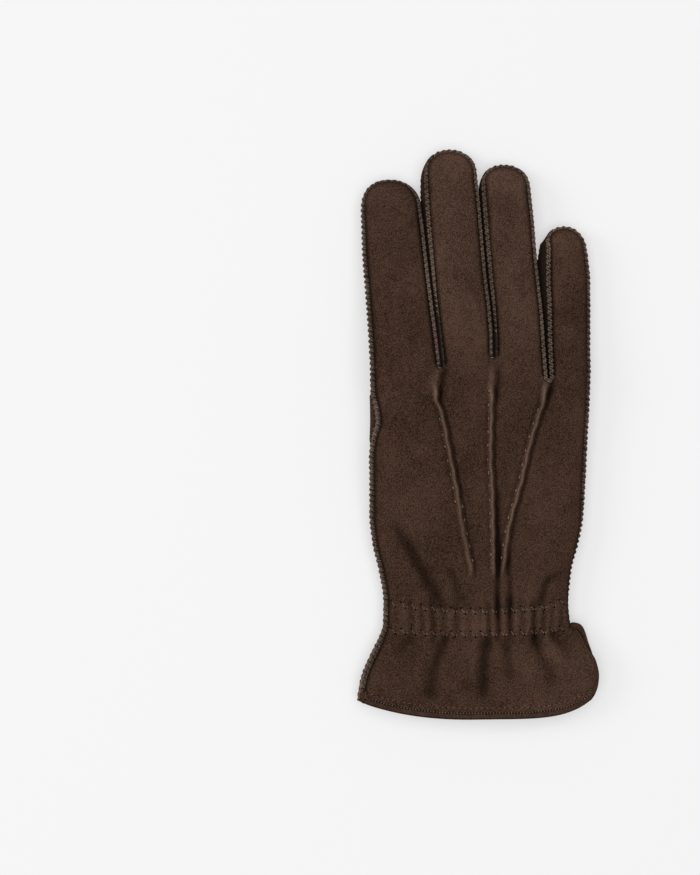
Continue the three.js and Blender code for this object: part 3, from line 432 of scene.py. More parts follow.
def curve(keys, values):
    """A smooth function through values at keys without overshoot: cubic pieces whose tangents are
    the harmonic mean of the slopes on both sides."""
    order = np.argsort(keys)
    x, y = keys[order], values[order]
    slope = np.diff(y) / np.diff(x)
    product = slope[:-1] * slope[1:]
    total = slope[:-1] + slope[1:]
    inner = np.where(product > 0, 2 * product / np.where(total == 0, 1, total), 0)
    tangent = np.concatenate([slope[:1], inner, slope[-1:]])

    def value(at):
        at = np.clip(at, x[0], x[-1])
        i = np.clip(np.searchsorted(x, at, side="right") - 1, 0, len(x) - 2)
        span = x[i + 1] - x[i]
        t = (at - x[i]) / span
        start = (1 + 2 * t) * (1 - t) ** 2 * y[i] + t * (1 - t) ** 2 * span * tangent[i]
        return start + t * t * (3 - 2 * t) * y[i + 1] - t * t * (1 - t) * span * tangent[i + 1]

    return value


def curves(rows, key):
    """A curve for each column of a table, by the key column."""
    return {name: curve(rows[key], rows[name]) for name in rows if name != key}


section = curves(SECTIONS, "y")
rolls = curves(ROLLS, "y")
cuff = curves(CUFF, "t")
elastic = curves(ELASTIC, "x")
thumb = curves(THUMB, "y")
tucks = [curve(rows["y"], rows["x"]) for rows in TUCKS]


# Relief of the back
def fold_depth(x, y):
    """Sum over the folds of depth * bell(distance from the fold's line), faded past its ends."""
    total = np.zeros(np.broadcast(x, y).shape)
    for ax, ay, bx, by, depth, half in zip(*FOLDS.values()):
        run_x, run_y = bx - ax, by - ay
        square = run_x**2 + run_y**2
        t = ((x - ax) * run_x + (y - ay) * run_y) / square
        away = np.abs((x - ax) * run_y - (y - ay) * run_x) / np.sqrt(square)
        ends = ramp(t, *FOLD_ENDS[0]) * ramp(t, *FOLD_ENDS[1])
        total += depth * ends * bell(away, half)
    return total


def gather_depth(x, y):
    """Sum over the gathers of depth * bell(x from its leaning line), full between the two rows of
    elastic and faded over its own length above and below them."""
    upper, lower = elastic["upper"](x), elastic["lower"](x)
    total = np.zeros(np.broadcast(x, y).shape)
    for at, lean, depth, half, up, down in zip(*GATHERS.values()):
        line = at - lean * (y - 0.5 * (upper + lower)) / 10
        fade = smooth(GATHER_LONG - (y - upper) / up) * smooth(GATHER_LONG - (lower - y) / down)
        spread = GATHER_WIDE * half * (1 + GATHER_OPEN * np.clip((lower - y) / down, 0, 1.5))
        total += GATHER_DEEP * depth * fade * bell(x - line, spread)
    return total


def elastic_groove(x, y):
    """The dip along each zigzag row."""
    deep, half = ELASTIC_GROOVE
    return deep * (bell(y - elastic["upper"](x), half) + bell(y - elastic["lower"](x), half))


def bells(d, form):
    """The rise and the shade of a form's bell curves at a distance d from its line."""
    rise, shade = 0.0, 0.0
    for at, half, up, dark in zip(*form.values()):
        wave = bell(d - at, half)
        rise, shade = rise + up * wave, shade + dark * wave
    return rise, shade


def tuck_rise(x, y):
    """Three pinched ridges: height * exp(-|d / half|^power), with a dip along each foot, that run out
    softly towards the fingers. Their shade paints a highlight along the top and shade in the dips."""
    window = (1 - ramp(y, *TUCK_TOP)) * ramp(y, *TUCK_FOOT)
    above = ramp(y, *RUN_ON_FOOT) * (1 - ramp(y, *RUN_ON_TOP))
    rise, shade = 0.0, 0.0
    for i, line in enumerate(tucks):
        d = x - line(y) - TUCK_SWAY[0] * np.sin(TUCK_SWAY[1] * y + 2 * i)
        ridge = TUCK_HEIGHT * np.exp(-np.abs(d / TUCK_HALF) ** TUCK_POWER)
        foot, foot_shade = bells(d, TUCK_FORM)
        soft, soft_shade = bells(d, RUN_ON_FORM)
        rise = rise + window * (ridge + foot) + above * soft
        shade = shade + window * foot_shade + above * soft_shade
    return rise, shade


def slack(x, y):
    """Sum over the waves of high * sin(by_x * x + by_y * y + start)."""
    return sum(high * np.sin(by_x * x + by_y * y + start) for high, by_x, by_y, start in zip(*WAVES.values()))


# The hand's form
def hand_height(side, u, y):
    """Height of the back (side 1) or the palm (side -1) at a share u across, from -1 to 1: the seam's
    height plus the crest's rise times dome(u)."""
    at = np.minimum(y, SPLIT_Y)
    left = section["seam_l"](at) + crease_place(side, rolls["left"](at))[1]
    right = section["seam_r"](at) + crease_place(side, rolls["right"](at))[1]
    edge = mix(left, right, (u + 1) / 2)
    if side > 0:
        flank = np.where(u < 0, section["top_l"](at), section["top_r"](at))
        crest = mix(section["top_c"](at), flank, ramp(np.abs(u), 0, 0.5))
    else:
        crest = mix(section["low_l"](at), section["low_r"](at), ramp(u, *PALM_STEP))
    return mix(edge, crest, dome(u, HAND_ROUND))


ROOT = WALL * np.tan(np.radians(ROOT_LIFT / 2))  # how far up a side seam's edge the panel leaves it


def drawn_in(roll):
    """How far the sewn line lies inside the tables' line."""
    return SEAM_IN * roll / np.maximum(roll, ROLL)


def crease_place(side, roll):
    """How far out of the tables' line, and above it, a panel leaves its seam's raised edge."""
    cos, sin = np.cos(np.radians(roll)), np.sin(np.radians(roll))
    thick = side * (SEAM_GAP / 2 + WALL)
    return ROOT * cos - thick * sin - drawn_in(roll), ROOT * sin + thick * cos


def edges_at(side, y):
    """The panel's left and right edge at height y."""
    at = np.minimum(y, SPLIT_Y)
    left = section["left"](at) - crease_place(side, rolls["left"](at))[0]
    return left, section["right"](at) + crease_place(side, rolls["right"](at))[0]


def share(side, x, y):
    """Where x lies between the panel's edges at height y, from -1 to 1."""
    left, right = edges_at(side, y)
    return np.clip(2 * (x - left) / (right - left) - 1, -1, 1)


def palm_height(x, y):
    """The palm's height at a place in plan."""
    return hand_height(-1, share(-1, x, y), y)


# The sewn line
def side_stations(x, y, z, roll):
    """Stations of a seam that joins the back straight to the palm."""
    x, y, z, roll = np.broadcast_arrays(x, y, z, roll)
    return dict(x=x, y=y, lean=0 * x, back=z, palm=z, lift=0 * x, roll=roll, size=1 + 0 * x)


def finger_stations(finger):
    """A finger's stations up its little-finger side, round the tip and down its thumb side. The tip
    is a superellipse; a fourchette's two seams draw together round it."""
    side_t = np.linspace(0, 1, FINGER_STEPS + 1)
    angle = np.arange(TIP_STEP, 180, TIP_STEP)
    ends = {}
    for name in ("left", "right"):
        rows = finger[name]
        y = mix(rows["y"][0], finger["arch"], side_t)
        ends[name] = (curve(rows["y"], rows["x"])(y), y)
    middle = (ends["left"][0][-1] + ends["right"][0][-1]) / 2
    half = (ends["right"][0][-1] - ends["left"][0][-1]) / 2
    cos, sin = np.cos(np.radians(angle)), np.sin(np.radians(angle))
    tip_x = middle + half * np.sign(cos) * np.abs(cos) ** (2 / TIP_ROUND) + finger["skew"] * sin
    tip_y = finger["arch"] + (finger["tip"] - finger["arch"]) * sin ** (2 / TIP_ROUND)
    straight = np.zeros(len(side_t))
    x = np.concatenate([ends["right"][0], tip_x, ends["left"][0][::-1]])
    y = np.concatenate([ends["right"][1], tip_y, ends["left"][1][::-1]])
    t = np.concatenate([side_t, 1 + 0 * tip_x, side_t[::-1]])
    turned = np.concatenate([straight, np.minimum(angle, 180 - angle), straight])
    on_right = np.concatenate([straight == 0, angle < 90, straight == 1])
    fork = np.where(on_right, finger["fork_right"], finger["fork_left"])
    heights = curves(finger["heights"], "t")
    top, belly = heights["top"](t), heights["belly"](t)
    centre = (top + belly) / 2
    weight = np.where(fork, 1 - ramp(turned, 0, FORK_END), 0)
    point = np.where(fork, FORK_POINT / 2 * (1 - ramp(turned, FORK_END, FORK_END + POINT_FADE)), 0)
    back = mix(centre + point, top - CREST_BACK - WALL, weight)
    palm = mix(centre - point, belly + CREST_PALM + WALL, weight)
    closed = np.where(fork, ramp(turned, FORK_END, FORK_END + FORK_CLOSE), 1)
    lift = mix(mix(POINT_LIFT, FORK_LIFT, weight), 0, closed)
    lean = curve(finger["lean"]["t"], finger["lean"]["out"])(t) * weight
    side_roll = np.where(on_right & ~fork, EDGE_ROLL, ROLL)
    roll = mix(side_roll, finger["tip_roll"], ramp(turned, 0, TIP_TURN)) * closed
    left, right = (curve(rows["y"], rows["size"])(y) for rows in finger["ropes"])
    size = mix(np.where(on_right, right, left), TIP_SIZE, ramp(turned, 0, TIP_SHRINK))
    return dict(x=x, y=y, lean=lean, back=back, palm=palm, lift=lift, roll=roll, size=size), top, belly


def slit_stations(start, end):
    """The round end of a slit, from the little-finger side to the other: half a turn whose bottom
    hangs SLIT below the two fingers' roots."""
    part = np.linspace(0, 1, TUCK_COLUMNS + 2)[1:-1]
    turn = np.pi * part
    row = {name: mix(start[name], end[name], part) for name in start}
    row["x"] = mix(start["x"], end["x"], 0.5 - 0.5 * np.cos(turn))
    row["y"] = row["y"] - SLIT * np.sin(turn)
    row["lift"] = FORK_LIFT + 0 * part
    return row


def sewn_line():
    """All stations anticlockwise: up the little-finger side from the vent, round each finger and
    slit, and down the thumb side to the hem. Returns them and each part's place in them."""
    up = np.arange(BAND_Y, FINGERS[-1]["right"]["y"][0] - STEP / 2, STEP)
    down = np.arange(SPLIT_Y - STEP, BAND_Y, -STEP)
    t = np.linspace(0, 1, CUFF_ROWS + 1)
    parts = {"right": side_stations(section["right"](up), up, section["seam_r"](up), rolls["right"](up))}
    made = [finger_stations(finger) for finger in FINGERS]
    for i in reversed(range(len(FINGERS))):
        line = made[i][0]
        parts[f"finger{i}"] = line
        if i > 0:
            last = {name: line[name][-1] for name in line}
            first = {name: made[i - 1][0][name][0] for name in line}
            parts[f"slit{i - 1}"] = slit_stations(last, first)
    parts["left"] = side_stations(section["left"](down), down, section["seam_l"](down), rolls["left"](down))
    parts["cuff"] = side_stations(cuff_left(t), cuff["left_y"](t), cuff["seam_l"](t), cuff_roll(t))
    spans, start = {}, 0
    for name, part in parts.items():
        spans[name] = slice(start, start + len(part["x"]))
        start = spans[name].stop
    line = {key: np.concatenate([part[key] for part in parts.values()]) for key in parts["right"]}
    return line, spans, made


def braid(t):
    """How far the cuff's thumb-side seam has widened into its braided edge."""
    return ramp(t, *BRAID_WIDENS)


BRAID_WIDENS = (0.02, 0.37)  # between these shares of the cuff's length
BRAID_IN = 0.25  # the widened edge starts this far inside the plain seam
BRAID_LIP = 1.0  # its lips are longer by this
BRAID_ROLL = 52  # degrees that it turns up
HEM_UNROLL = 0.6  # by this share less at the hem,
HEM_UNROLLS = (0.84, 1)  # between these shares of the cuff's length


def cuff_left(t):
    """The cuff's thumb-side edge, further in by BRAID_IN where it has widened."""
    return cuff["left_x"](t) + BRAID_IN * braid(t)


def cuff_roll(t):
    """The widened edge turns up further, and lies down again under the hem's binding."""
    return mix(ROLL, BRAID_ROLL, braid(t)) * (1 - HEM_UNROLL * ramp(t, *HEM_UNROLLS))


SIDE = {"back": 1, "palm": -1}


def seam_frames(line, key):
    """The seam's points on one panel with its two directions at each: along the lip, and across it
    towards the panel. The lip leans away from the other panel's by the station's lift, and both turn
    up by its roll."""
    side = SIDE[key]
    x = line["x"] + (line["lean"] if key == "palm" else 0)
    points = stack(x, line["y"], line[key])
    along = np.gradient(points, axis=0)
    out = unit(stack(along[:, 1], -along[:, 0], 0 * x))
    points = points - out * drawn_in(line["roll"])[:, None]
    lift = np.radians(line["lift"] + side * line["roll"])[:, None]
    up = np.array([0.0, 0.0, side])
    lip = out * np.cos(lift) + up * np.sin(lift)
    panel = -out * np.sin(lift) + up * np.cos(lift)
    root = WALL * np.tan(np.radians(np.maximum(line["lift"], ROOT_LIFT)) / 2)[:, None]
    crease = points + panel * (SEAM_GAP / 2 + WALL) + lip * root
    length = run_length(stack(line["x"], line["y"], (line["back"] + line["palm"]) / 2))
    return dict(points=points, out=out, lip=lip, panel=panel, crease=crease, length=length)


# Meshes as arrays
MERGE_STEPS = 1e4  # points that round to the same steps of a millimetre are one
MERGE_SHIFT = 0.237  # so that no round number lies between two steps
LAID_AT_ONCE = 150
NEAREST = 4
THREAD_END = 0.6  # a thread's ends are drawn in to this share of its radius


def grid_faces(ids):
    """Two triangles for each cell of a grid of point numbers."""
    a, b, c, d = ids[:-1, :-1], ids[:-1, 1:], ids[1:, 1:], ids[1:, :-1]
    return np.concatenate([np.stack([a, b, c], -1).reshape(-1, 3), np.stack([a, c, d], -1).reshape(-1, 3)])


def join(grids, values=()):
    """Grids of points as one skin: points at the same place become one, and faces that shrink to a
    line are left out. Values are carried along; grids past their end have 0."""
    points, faces, shades, count = [], [], [], 0
    for i, grid in enumerate(grids):
        ids = count + np.arange(grid.shape[0] * grid.shape[1]).reshape(grid.shape[:2])
        points.append(grid.reshape(-1, 3))
        faces.append(grid_faces(ids))
        shades.append(values[i].reshape(-1) if i < len(values) else np.zeros(ids.size))
        count += ids.size
    points, faces, shades = np.concatenate(points), np.concatenate(faces), np.concatenate(shades)
    places = np.round(points * MERGE_STEPS + MERGE_SHIFT)
    _, first, same = np.unique(places, axis=0, return_index=True, return_inverse=True)
    faces = same.reshape(-1)[faces]
    a, b, c = faces.T
    return points[first], faces[(a != b) & (b != c) & (c != a)], shades[first]


def sum_rows(ids, rows, count):
    """For each number below count, the sum of the rows that carry it."""
    return np.stack([np.bincount(ids, rows[:, axis], count) for axis in range(3)], axis=1)


def point_normals(points, faces):
    """The mean of the faces round each point, weighted by their area."""
    a, b, c = points[faces[:, 0]], points[faces[:, 1]], points[faces[:, 2]]
    face = np.cross(b - a, c - a)
    return unit(sum(sum_rows(faces[:, k], face, len(points)) for k in range(3)))


def leather(points, faces, wall=WALL, rings=2):
    """A closed wall behind a shown skin: the same skin one wall behind it, turned round, and a
    half-round rim along every open edge."""
    count = len(points)
    normals = point_normals(points, faces)
    inner = points - normals * wall
    edges = np.concatenate([faces[:, [0, 1]], faces[:, [1, 2]], faces[:, [2, 0]]])
    paired = np.isin(edges[:, 0] * count + edges[:, 1], edges[:, 1] * count + edges[:, 0])
    a, b = edges[~paired].T
    rim = np.unique(a)
    away = np.cross(points[b] - points[a], normals[a])
    away = unit(sum(sum_rows(ends, away, count) for ends in (a, b))[rim])
    place = np.zeros(count, int)
    place[rim] = np.arange(len(rim))
    middle, reach = (points[rim] + inner[rim]) / 2, (points[rim] - inner[rim]) / 2
    levels, extra = [lambda ids: ids], []
    for k in range(1, rings + 1):
        turn = np.pi * k / (rings + 1)
        extra.append(middle + reach * np.cos(turn) + away * wall / 2 * np.sin(turn))
        levels.append(lambda ids, k=k: 2 * count + (k - 1) * len(rim) + place[ids])
    levels.append(lambda ids: ids + count)
    bands = []
    for low, high in zip(levels[:-1], levels[1:]):
        bands.append(np.stack([low(b), low(a), high(a)], -1))
        bands.append(np.stack([low(b), high(a), high(b)], -1))
    whole = np.concatenate([faces, faces[:, ::-1] + count, *bands])
    return np.concatenate([points, inner, *extra]), whole


def outward(points, faces):
    """The same faces, turned round if they enclose a negative volume."""
    a, b, c = points[faces[:, 0]], points[faces[:, 1]], points[faces[:, 2]]
    return faces if np.einsum("ij,ij->", a, np.cross(b, c)) > 0 else faces[:, ::-1]


def sweep(centre, across, rise, profile, ring=False):
    """A closed profile carried along a path: point(i, j) = centre(i) + across(i) * profile(j, 0) +
    rise(i) * profile(j, 1). An open path is capped at both ends."""
    profile = np.broadcast_to(profile, (len(centre), *profile.shape[-2:]))
    points = centre[:, None] + across[:, None] * profile[..., :1] + rise[:, None] * profile[..., 1:]
    rows, sides = points.shape[:2]
    ids = np.arange(rows * sides).reshape(rows, sides)
    loop = np.concatenate([ids, ids[:, :1]], axis=1)
    if ring:
        faces = grid_faces(np.concatenate([loop, loop[:1]]))
        points = points.reshape(-1, 3)
    else:
        caps = []
        for k, row in enumerate((loop[0], loop[-1][::-1])):
            hub = rows * sides + k + 0 * row[1:]
            caps.append(np.stack([hub, row[1:], row[:-1]], -1))
        faces = np.concatenate([grid_faces(loop), *caps])
        points = np.concatenate([points.reshape(-1, 3), points[0].mean(0)[None], points[-1].mean(0)[None]])
    return points, outward(points, faces)


def cords(paths, normals, radius, sides=6):
    """Short round threads: rings of radius r about each path's points, drawn in at both ends."""
    count, steps = paths.shape[:2]
    along = unit(np.gradient(paths, axis=1))
    across = unit(np.cross(along, normals))
    rise = np.cross(across, along)
    turn = 2 * np.pi * np.arange(sides) / sides
    thick = np.broadcast_to(np.asarray(radius, float).reshape(-1, 1), (count, steps)).copy()
    thick[:, [0, -1]] *= THREAD_END
    ring = across[:, :, None] * np.cos(turn)[:, None] + rise[:, :, None] * np.sin(turn)[:, None]
    points = paths[:, :, None] + ring * thick[:, :, None, None]
    ids = np.arange(steps * sides).reshape(steps, sides)
    loop = np.concatenate([ids, ids[:, :1]], axis=1)
    fan = np.arange(1, sides - 1)
    first, last = ids[0], ids[-1]
    caps = np.concatenate([
        np.stack([first[0] + 0 * fan, first[fan + 1], first[fan]], -1),
        np.stack([last[0] + 0 * fan, last[fan], last[fan + 1]], -1),
    ])
    one = np.concatenate([grid_faces(loop), caps])
    one = outward(points[0].reshape(-1, 3), one)
    faces = (one[None] + (np.arange(count) * steps * sides)[:, None, None]).reshape(-1, 3)
    return points.reshape(-1, 3), faces


def lay(skin, plan, lift=0.0):
    """Points (..., 2) in plan laid on a skin: height and normal are those of its four nearest
    points, weighted by 1 / distance squared. Returns points raised by lift, and normals."""
    points, normals = skin
    flat = plan.reshape(-1, 2)
    placed, facing = np.empty((len(flat), 3)), np.empty((len(flat), 3))
    for part in np.array_split(np.arange(len(flat)), max(1, len(flat) // LAID_AT_ONCE)):
        near = ((flat[part, None] - points[None, :, :2]) ** 2).sum(-1)
        pick = np.argpartition(near, NEAREST, axis=1)[:, :NEAREST]
        weight = 1 / (np.take_along_axis(near, pick, 1) + 1e-4)
        weight = weight / weight.sum(1, keepdims=True)
        facing[part] = unit((normals[pick] * weight[..., None]).sum(1))
        height = (points[pick, 2] * weight).sum(1)
        placed[part] = np.concatenate([flat[part], height[:, None]], axis=1)
    placed = placed + facing * np.reshape(np.broadcast_to(lift, plan.shape[:-1]), (-1, 1))
    return placed.reshape(*plan.shape[:-1], 3), facing.reshape(*plan.shape[:-1], 3)


# The panels
ROOT_Y = 22.0  # the rows turn level between the fingers' roots and this height
ROOT_ROWS = 10
ROOT_FADE = 14  # how far below the roots their own heights die out
CUFF_START = 0.25  # the cuff takes its own form in this share of its length
CUFF_CALM = 0.7  # its folds are calmer by this share at its edges
PALM_CUFF = 0.3  # and its palm side keeps this share of them,
PALM_CALMS = 0.4  # from this share of its length on
# Columns, closer together at the seams: shares of a finger's half width from its middle line, of its
# whole width, and of the wrist's from -1 to 1.
PLACES = mix(np.sin(np.linspace(0, np.pi / 2, ACROSS + 1)), np.linspace(0, 1, ACROSS + 1), 0.4)
SHARES = np.concatenate([(1 - PLACES[::-1]) / 2, (1 + PLACES[1:]) / 2])
COLUMNS = 4 * len(SHARES) + 3 * TUCK_COLUMNS
EVEN = mix(np.linspace(-1, 1, COLUMNS), np.sin(np.linspace(-np.pi / 2, np.pi / 2, COLUMNS)), 0.45)


def crease_shade(away):
    """Painted shade in the crease beside a seam, by the distance from it."""
    dark, half = CREASE_SHADE
    return dark * bell(away, half)


def finger_grid(frames, span, finger, top, belly, key):
    """A finger's panel: rho from its middle line (0) to its crease (1) at every station of its seam;
    height = crease's + the crest's rise * dome(rho). Round the tip the middle line is one point."""
    crease = frames["crease"][span]
    crest = top if key == "back" else belly
    middle = (crease + crease[::-1])[:, :2] / 2
    middle[FINGER_STEPS:len(middle) - FINGER_STEPS] = middle[FINGER_STEPS]
    rho = PLACES[None, :, None]
    plan = mix(middle[:, None], crease[:, None, :2], rho)
    height = mix(crease[:, None, 2], crest[:, None], dome(PLACES, FINGER_ROUND))
    away = np.linalg.norm(plan - crease[:, None, :2], axis=-1)
    y = plan[..., 1]
    # The crease beside the seam gets painted shade, and the tip and some whole fingers are made paler.
    paler = TIP_PALER * smooth((y - finger["arch"] + PALER_EARLY) / (finger["tip"] - finger["arch"]))
    paler = paler + finger["paler"] * ramp(y, *PALER_RUN)
    return np.concatenate([plan, height[..., None]], axis=-1), crease_shade(away) - paler


def following_columns(side, y):
    """Columns of the hand that keep to the three tucks."""
    left, right = edges_at(side, y)
    lines = [line(y) for line in tucks]
    wide = np.minimum(TUCK_SHOULDER, TUCK_CROWDED * (lines[2] - lines[1]))
    starts = [left, *(line + wide for line in lines)]
    stops = [*(line - wide for line in lines), right]
    spread = np.linspace(-1, 1, TUCK_COLUMNS + 2)[1:-1]
    columns = []
    for i in range(4):
        columns.append(mix(starts[i], stops[i], SHARES))
        if i < 3:
            columns.append(lines[i] + wide * spread)
    return np.concatenate(columns, axis=1)


def hand_columns(side, y):
    """Columns at rows y: they follow the tucks on the hand and are even on the wrist."""
    left, right = edges_at(side, y)
    return mix(following_columns(side, y), mix(left, right, (EVEN + 1) / 2), ramp(y, *TUCKS_END))


def thumb_leather(u, y):
    """How far the palm leather beside the thumb bulges out past the seam, and sags: a half sine from
    the seam inwards, high enough that its outline keeps to one straight line."""
    form = THUMB_LEATHER
    need = np.clip(edges_at(-1, y)[0] - form["reach"], 0, None)
    along = smooth((y - form["first"]) / form["fade"]) * smooth((form["last"] - y) / form["fade"])
    rise = (need + form["lean"] * smooth(need / form["start"])) * along
    wave = np.sin(np.pi * np.clip((u + 1) / form["wide"], 0, 1))
    return rise * wave, form["sag"] * wave * wave * along


def relief(key, x, y, calm=1.0):
    """How far the leather stands above its plain form, and its shade: painted shade in folds, gathers and
    tuck dips (above 0), painted highlights and a paler flap (below). The palm only draws in, so that it
    still lies on the table."""
    folds, gathers = fold_depth(x, y) * calm, gather_depth(x, y) * calm
    groove = elastic_groove(x, y) * calm
    if key == "palm":
        return -PALM_GATHER * gathers - groove - PALM_IN + 0 * x, PALM_SHADE * gathers
    rise, shade = tuck_rise(x, y)
    band = smooth((elastic["upper"](x) + 1 - y) / 2) * smooth((y - elastic["lower"](x) + 1) / 2)
    # Painted shade in the folds and gathers, a painted highlight on the raised folds and on the gathers' ribs
    # between the rows of elastic, and a paler flap.
    paler = FLAP_PALER * ramp(x, *FLAP_RUN[0]) * ramp(y, *FLAP_RUN[1])
    shade = shade + FOLD_SHADE * folds + (GATHER_SHADE + BAND_SHADE * band) * gathers
    return rise - folds - gathers - groove + slack(x, y) * calm, shade - BAND_HIGHLIGHT * band * calm - paler


def hand_grid(key, split):
    """The hand from the fingers' roots to the wrist, and the cuff: rows of the same columns. Below
    the roots the difference between them and the hand's own section dies out as a bell curve."""
    side = SIDE[key]
    u_split = share(side, split[:, 0], split[:, 1])
    drop = split[:, 2] - hand_height(side, u_split, split[:, 1])
    part = (np.arange(1, ROOT_ROWS + 1) / ROOT_ROWS)[:, None]
    x0 = mix(split[:, 0], hand_columns(side, np.array([[ROOT_Y]])), part)
    y0 = mix(split[:, 1], ROOT_Y, part)
    rows = int(round((ROOT_Y - BAND_Y) / STEP))
    y1 = np.linspace(ROOT_Y, BAND_Y, rows + 1)[1:, None]
    x1 = hand_columns(side, y1)
    x = np.concatenate([x0, x1])
    y = np.concatenate([y0, np.broadcast_to(y1, x1.shape)])
    u = share(side, x, y)
    calm = 1 - np.abs(u) ** 10
    fade = bell(split[:, 1] - y, ROOT_FADE)
    rise, hollow = relief(key, x, y, calm)
    settle = np.concatenate([part + 0 * x0, np.ones_like(x1)])
    z = hand_height(side, u, y) + fade * drop + side * rise * settle
    left, right = edges_at(side, y)
    # Painted shade in the creases beside the side seams.
    hollow = hollow + crease_shade(np.minimum(x - left, right - x))
    if key == "palm":
        out, sag = thumb_leather(u, y)
        x, z = x - out, z - sag
    hand = stack(x, y, z)
    t = np.linspace(0, 1, CUFF_ROWS + 1)[1:, None]
    flap, flap_hollow = cuff_points(key, EVEN[None], t)
    points = np.concatenate([split[None], hand, flap])
    hollows = np.concatenate([0 * split[None, :, 0], hollow, flap_hollow])
    return points[::-1], hollows[::-1]


def cuff_points(key, u, t):
    """The cuff at a share u across and t from the band to the hem. It bows down between its corners,
    is domed to the sewn edge, and lies flat to the free one."""
    side = SIDE[key]
    s = (u + 1) / 2
    out, up = crease_place(side, cuff_roll(t))
    left = cuff_left(t) - out
    x = mix(left, cuff[f"{key}_x"](t), s)
    bow = HEM_DROP[key] * (1 - np.abs(u) ** np.where(u < 0, *HEM_SQUARE)) * t * t
    y = mix(cuff["left_y"](t), cuff[f"{key}_y"](t), s) - bow
    crest = mix(*CUFF_TOP, t) if side > 0 else mix(*CUFF_LOW, smooth(t))
    edge = cuff["seam_l"](t) + up
    sewn = mix(edge, crest, dome(u, HAND_ROUND))
    free = mix(cuff[f"{key}_z"](t), crest, 1 - np.clip(np.abs(u), 0, 1) ** FLAP_ROUND)
    form = np.where(u < 0, sewn, free)
    start = hand_height(side, u, BAND_Y + 0 * t)
    z = mix(start, form, ramp(t, 0, CUFF_START))
    rise, hollow = relief(key, x, y, 1 - CUFF_CALM * np.abs(u) ** 8)
    ease = 1 if key == "back" else mix(1, PALM_CUFF, ramp(t, 0, PALM_CALMS))
    # Painted shade in the crease beside the sewn edge.
    return stack(x, y, z + side * rise * ease), hollow + crease_shade(x - left)


def panel_skin(line, spans, made, key):
    """The shown skin of the back or the palm, with its hollows."""
    frames = seam_frames(line, key)
    fingers = []
    for i, finger in enumerate(FINGERS):
        fingers.append(finger_grid(frames, spans[f"finger{i}"], finger, *made[i][1:], key))
    grids = [grid for grid, _ in fingers]
    row = []
    for i in range(4):
        row += [grids[i][-1, ::-1], grids[i][0, 1:]]
        if i < 3:
            row.append(frames["crease"][spans[f"slit{i}"]][::-1])
    split = np.concatenate(row)
    hand, hollow = hand_grid(key, split)
    points, faces, shade = join([hand, *grids], [hollow, *(shade for _, shade in fingers)])
    if key == "palm":
        faces = faces[:, ::-1]
    return frames, points, faces, shade, hand


# Seams
def seam_at(frames, at):
    """The seam's point and its lip and panel directions at lengths along it."""
    points, lip, panel = (read_off(at, frames["length"], frames[name]) for name in ("points", "lip", "panel"))
    return points, unit(lip), unit(panel)


GROOVE_SHADE = 1.3  # painted shade in a stitch's groove
ROOT_SHADE = 0.6  # and in the crease where a raised edge leaves its panel
UNEVEN_SHADE = 0.35
PINCH_SHARP = 1.6  # the power of the wave in which the stitches draw the raised edges in
PINCH_UNEVEN = 0.3
EDGE_UNEVEN = 0.07
LIP_THICK = 1.1  # a raised edge is this many times as thick as the leather,
LIP_PRESSED = 1.25  # and thinner by so much of a stitch's pull
LOOP_TURN = 112  # degrees that a stitch reaches down on both sides of the seam
LOOP_HUB = 0.45  # how far out of the sewn line its middle is
LOOP_DRAWN = 0.75  # the share of its pull by which it is shorter
LOOP_SLANT = (0.7, 1.3)  # the shares between which its slant varies,
LOOP_STRAY = 0.1  # how far it strays along the seam
LOOP_THICK = (0.85, 1.12)  # and the shares between which its thickness varies
PIT_PLACE = (0.6, 0.7)  # where it goes in: out of the sewn line, and the share of the thickness
FORK_COLUMNS = 9
FORK_WALL = 0.8  # a fourchette's thickness as a share of the leather's
FORK_THIN = 0.45  # its edges lie at most this share of its height inside its seams
HEM_TUCKED = 0.7  # the binding starts this far inside the sewn edge's end

# A raised edge in section, as (out, thick) shares of its length and of the leather's thickness.
LIP_EDGE = np.array([
    (-0.1, -0.06), (0.7, 0), (0.92, 0.08), (1.0, 0.38), (0.98, 0.7), (0.86, 0.94), (0.6, 1.04),
    (0.3, 1.02), (-0.1, 1.0),
])


def uneven(at):
    """Waves of three lengths along a seam, together between -1 and 1: no stitch is like the next."""
    return 0.4 * np.sin(0.83 * at) + 0.35 * np.sin(1.71 * at + 1.1) + 0.25 * np.sin(0.29 * at + 2.5)


def stitch_pull(centre):
    """How far a stitch draws the raised edges in."""
    x, y = centre[..., 0], centre[..., 1]
    even = SIDE_EVEN * ramp(y, *SIDE_RUN) + (BRAID_EVEN - SIDE_EVEN) * ramp(y, *BRAID_RUN)
    return PINCH * (1 - even * (x < LEFT_SIDE))


def lip_size(frames, at, extra):
    """How much longer the raised edges are at lengths along a seam, and their share of a full one's
    thickness."""
    longer = np.interp(at, frames["length"], np.broadcast_to(extra, frames["length"].shape))
    return longer, np.minimum(1 + longer / LIP, 1)


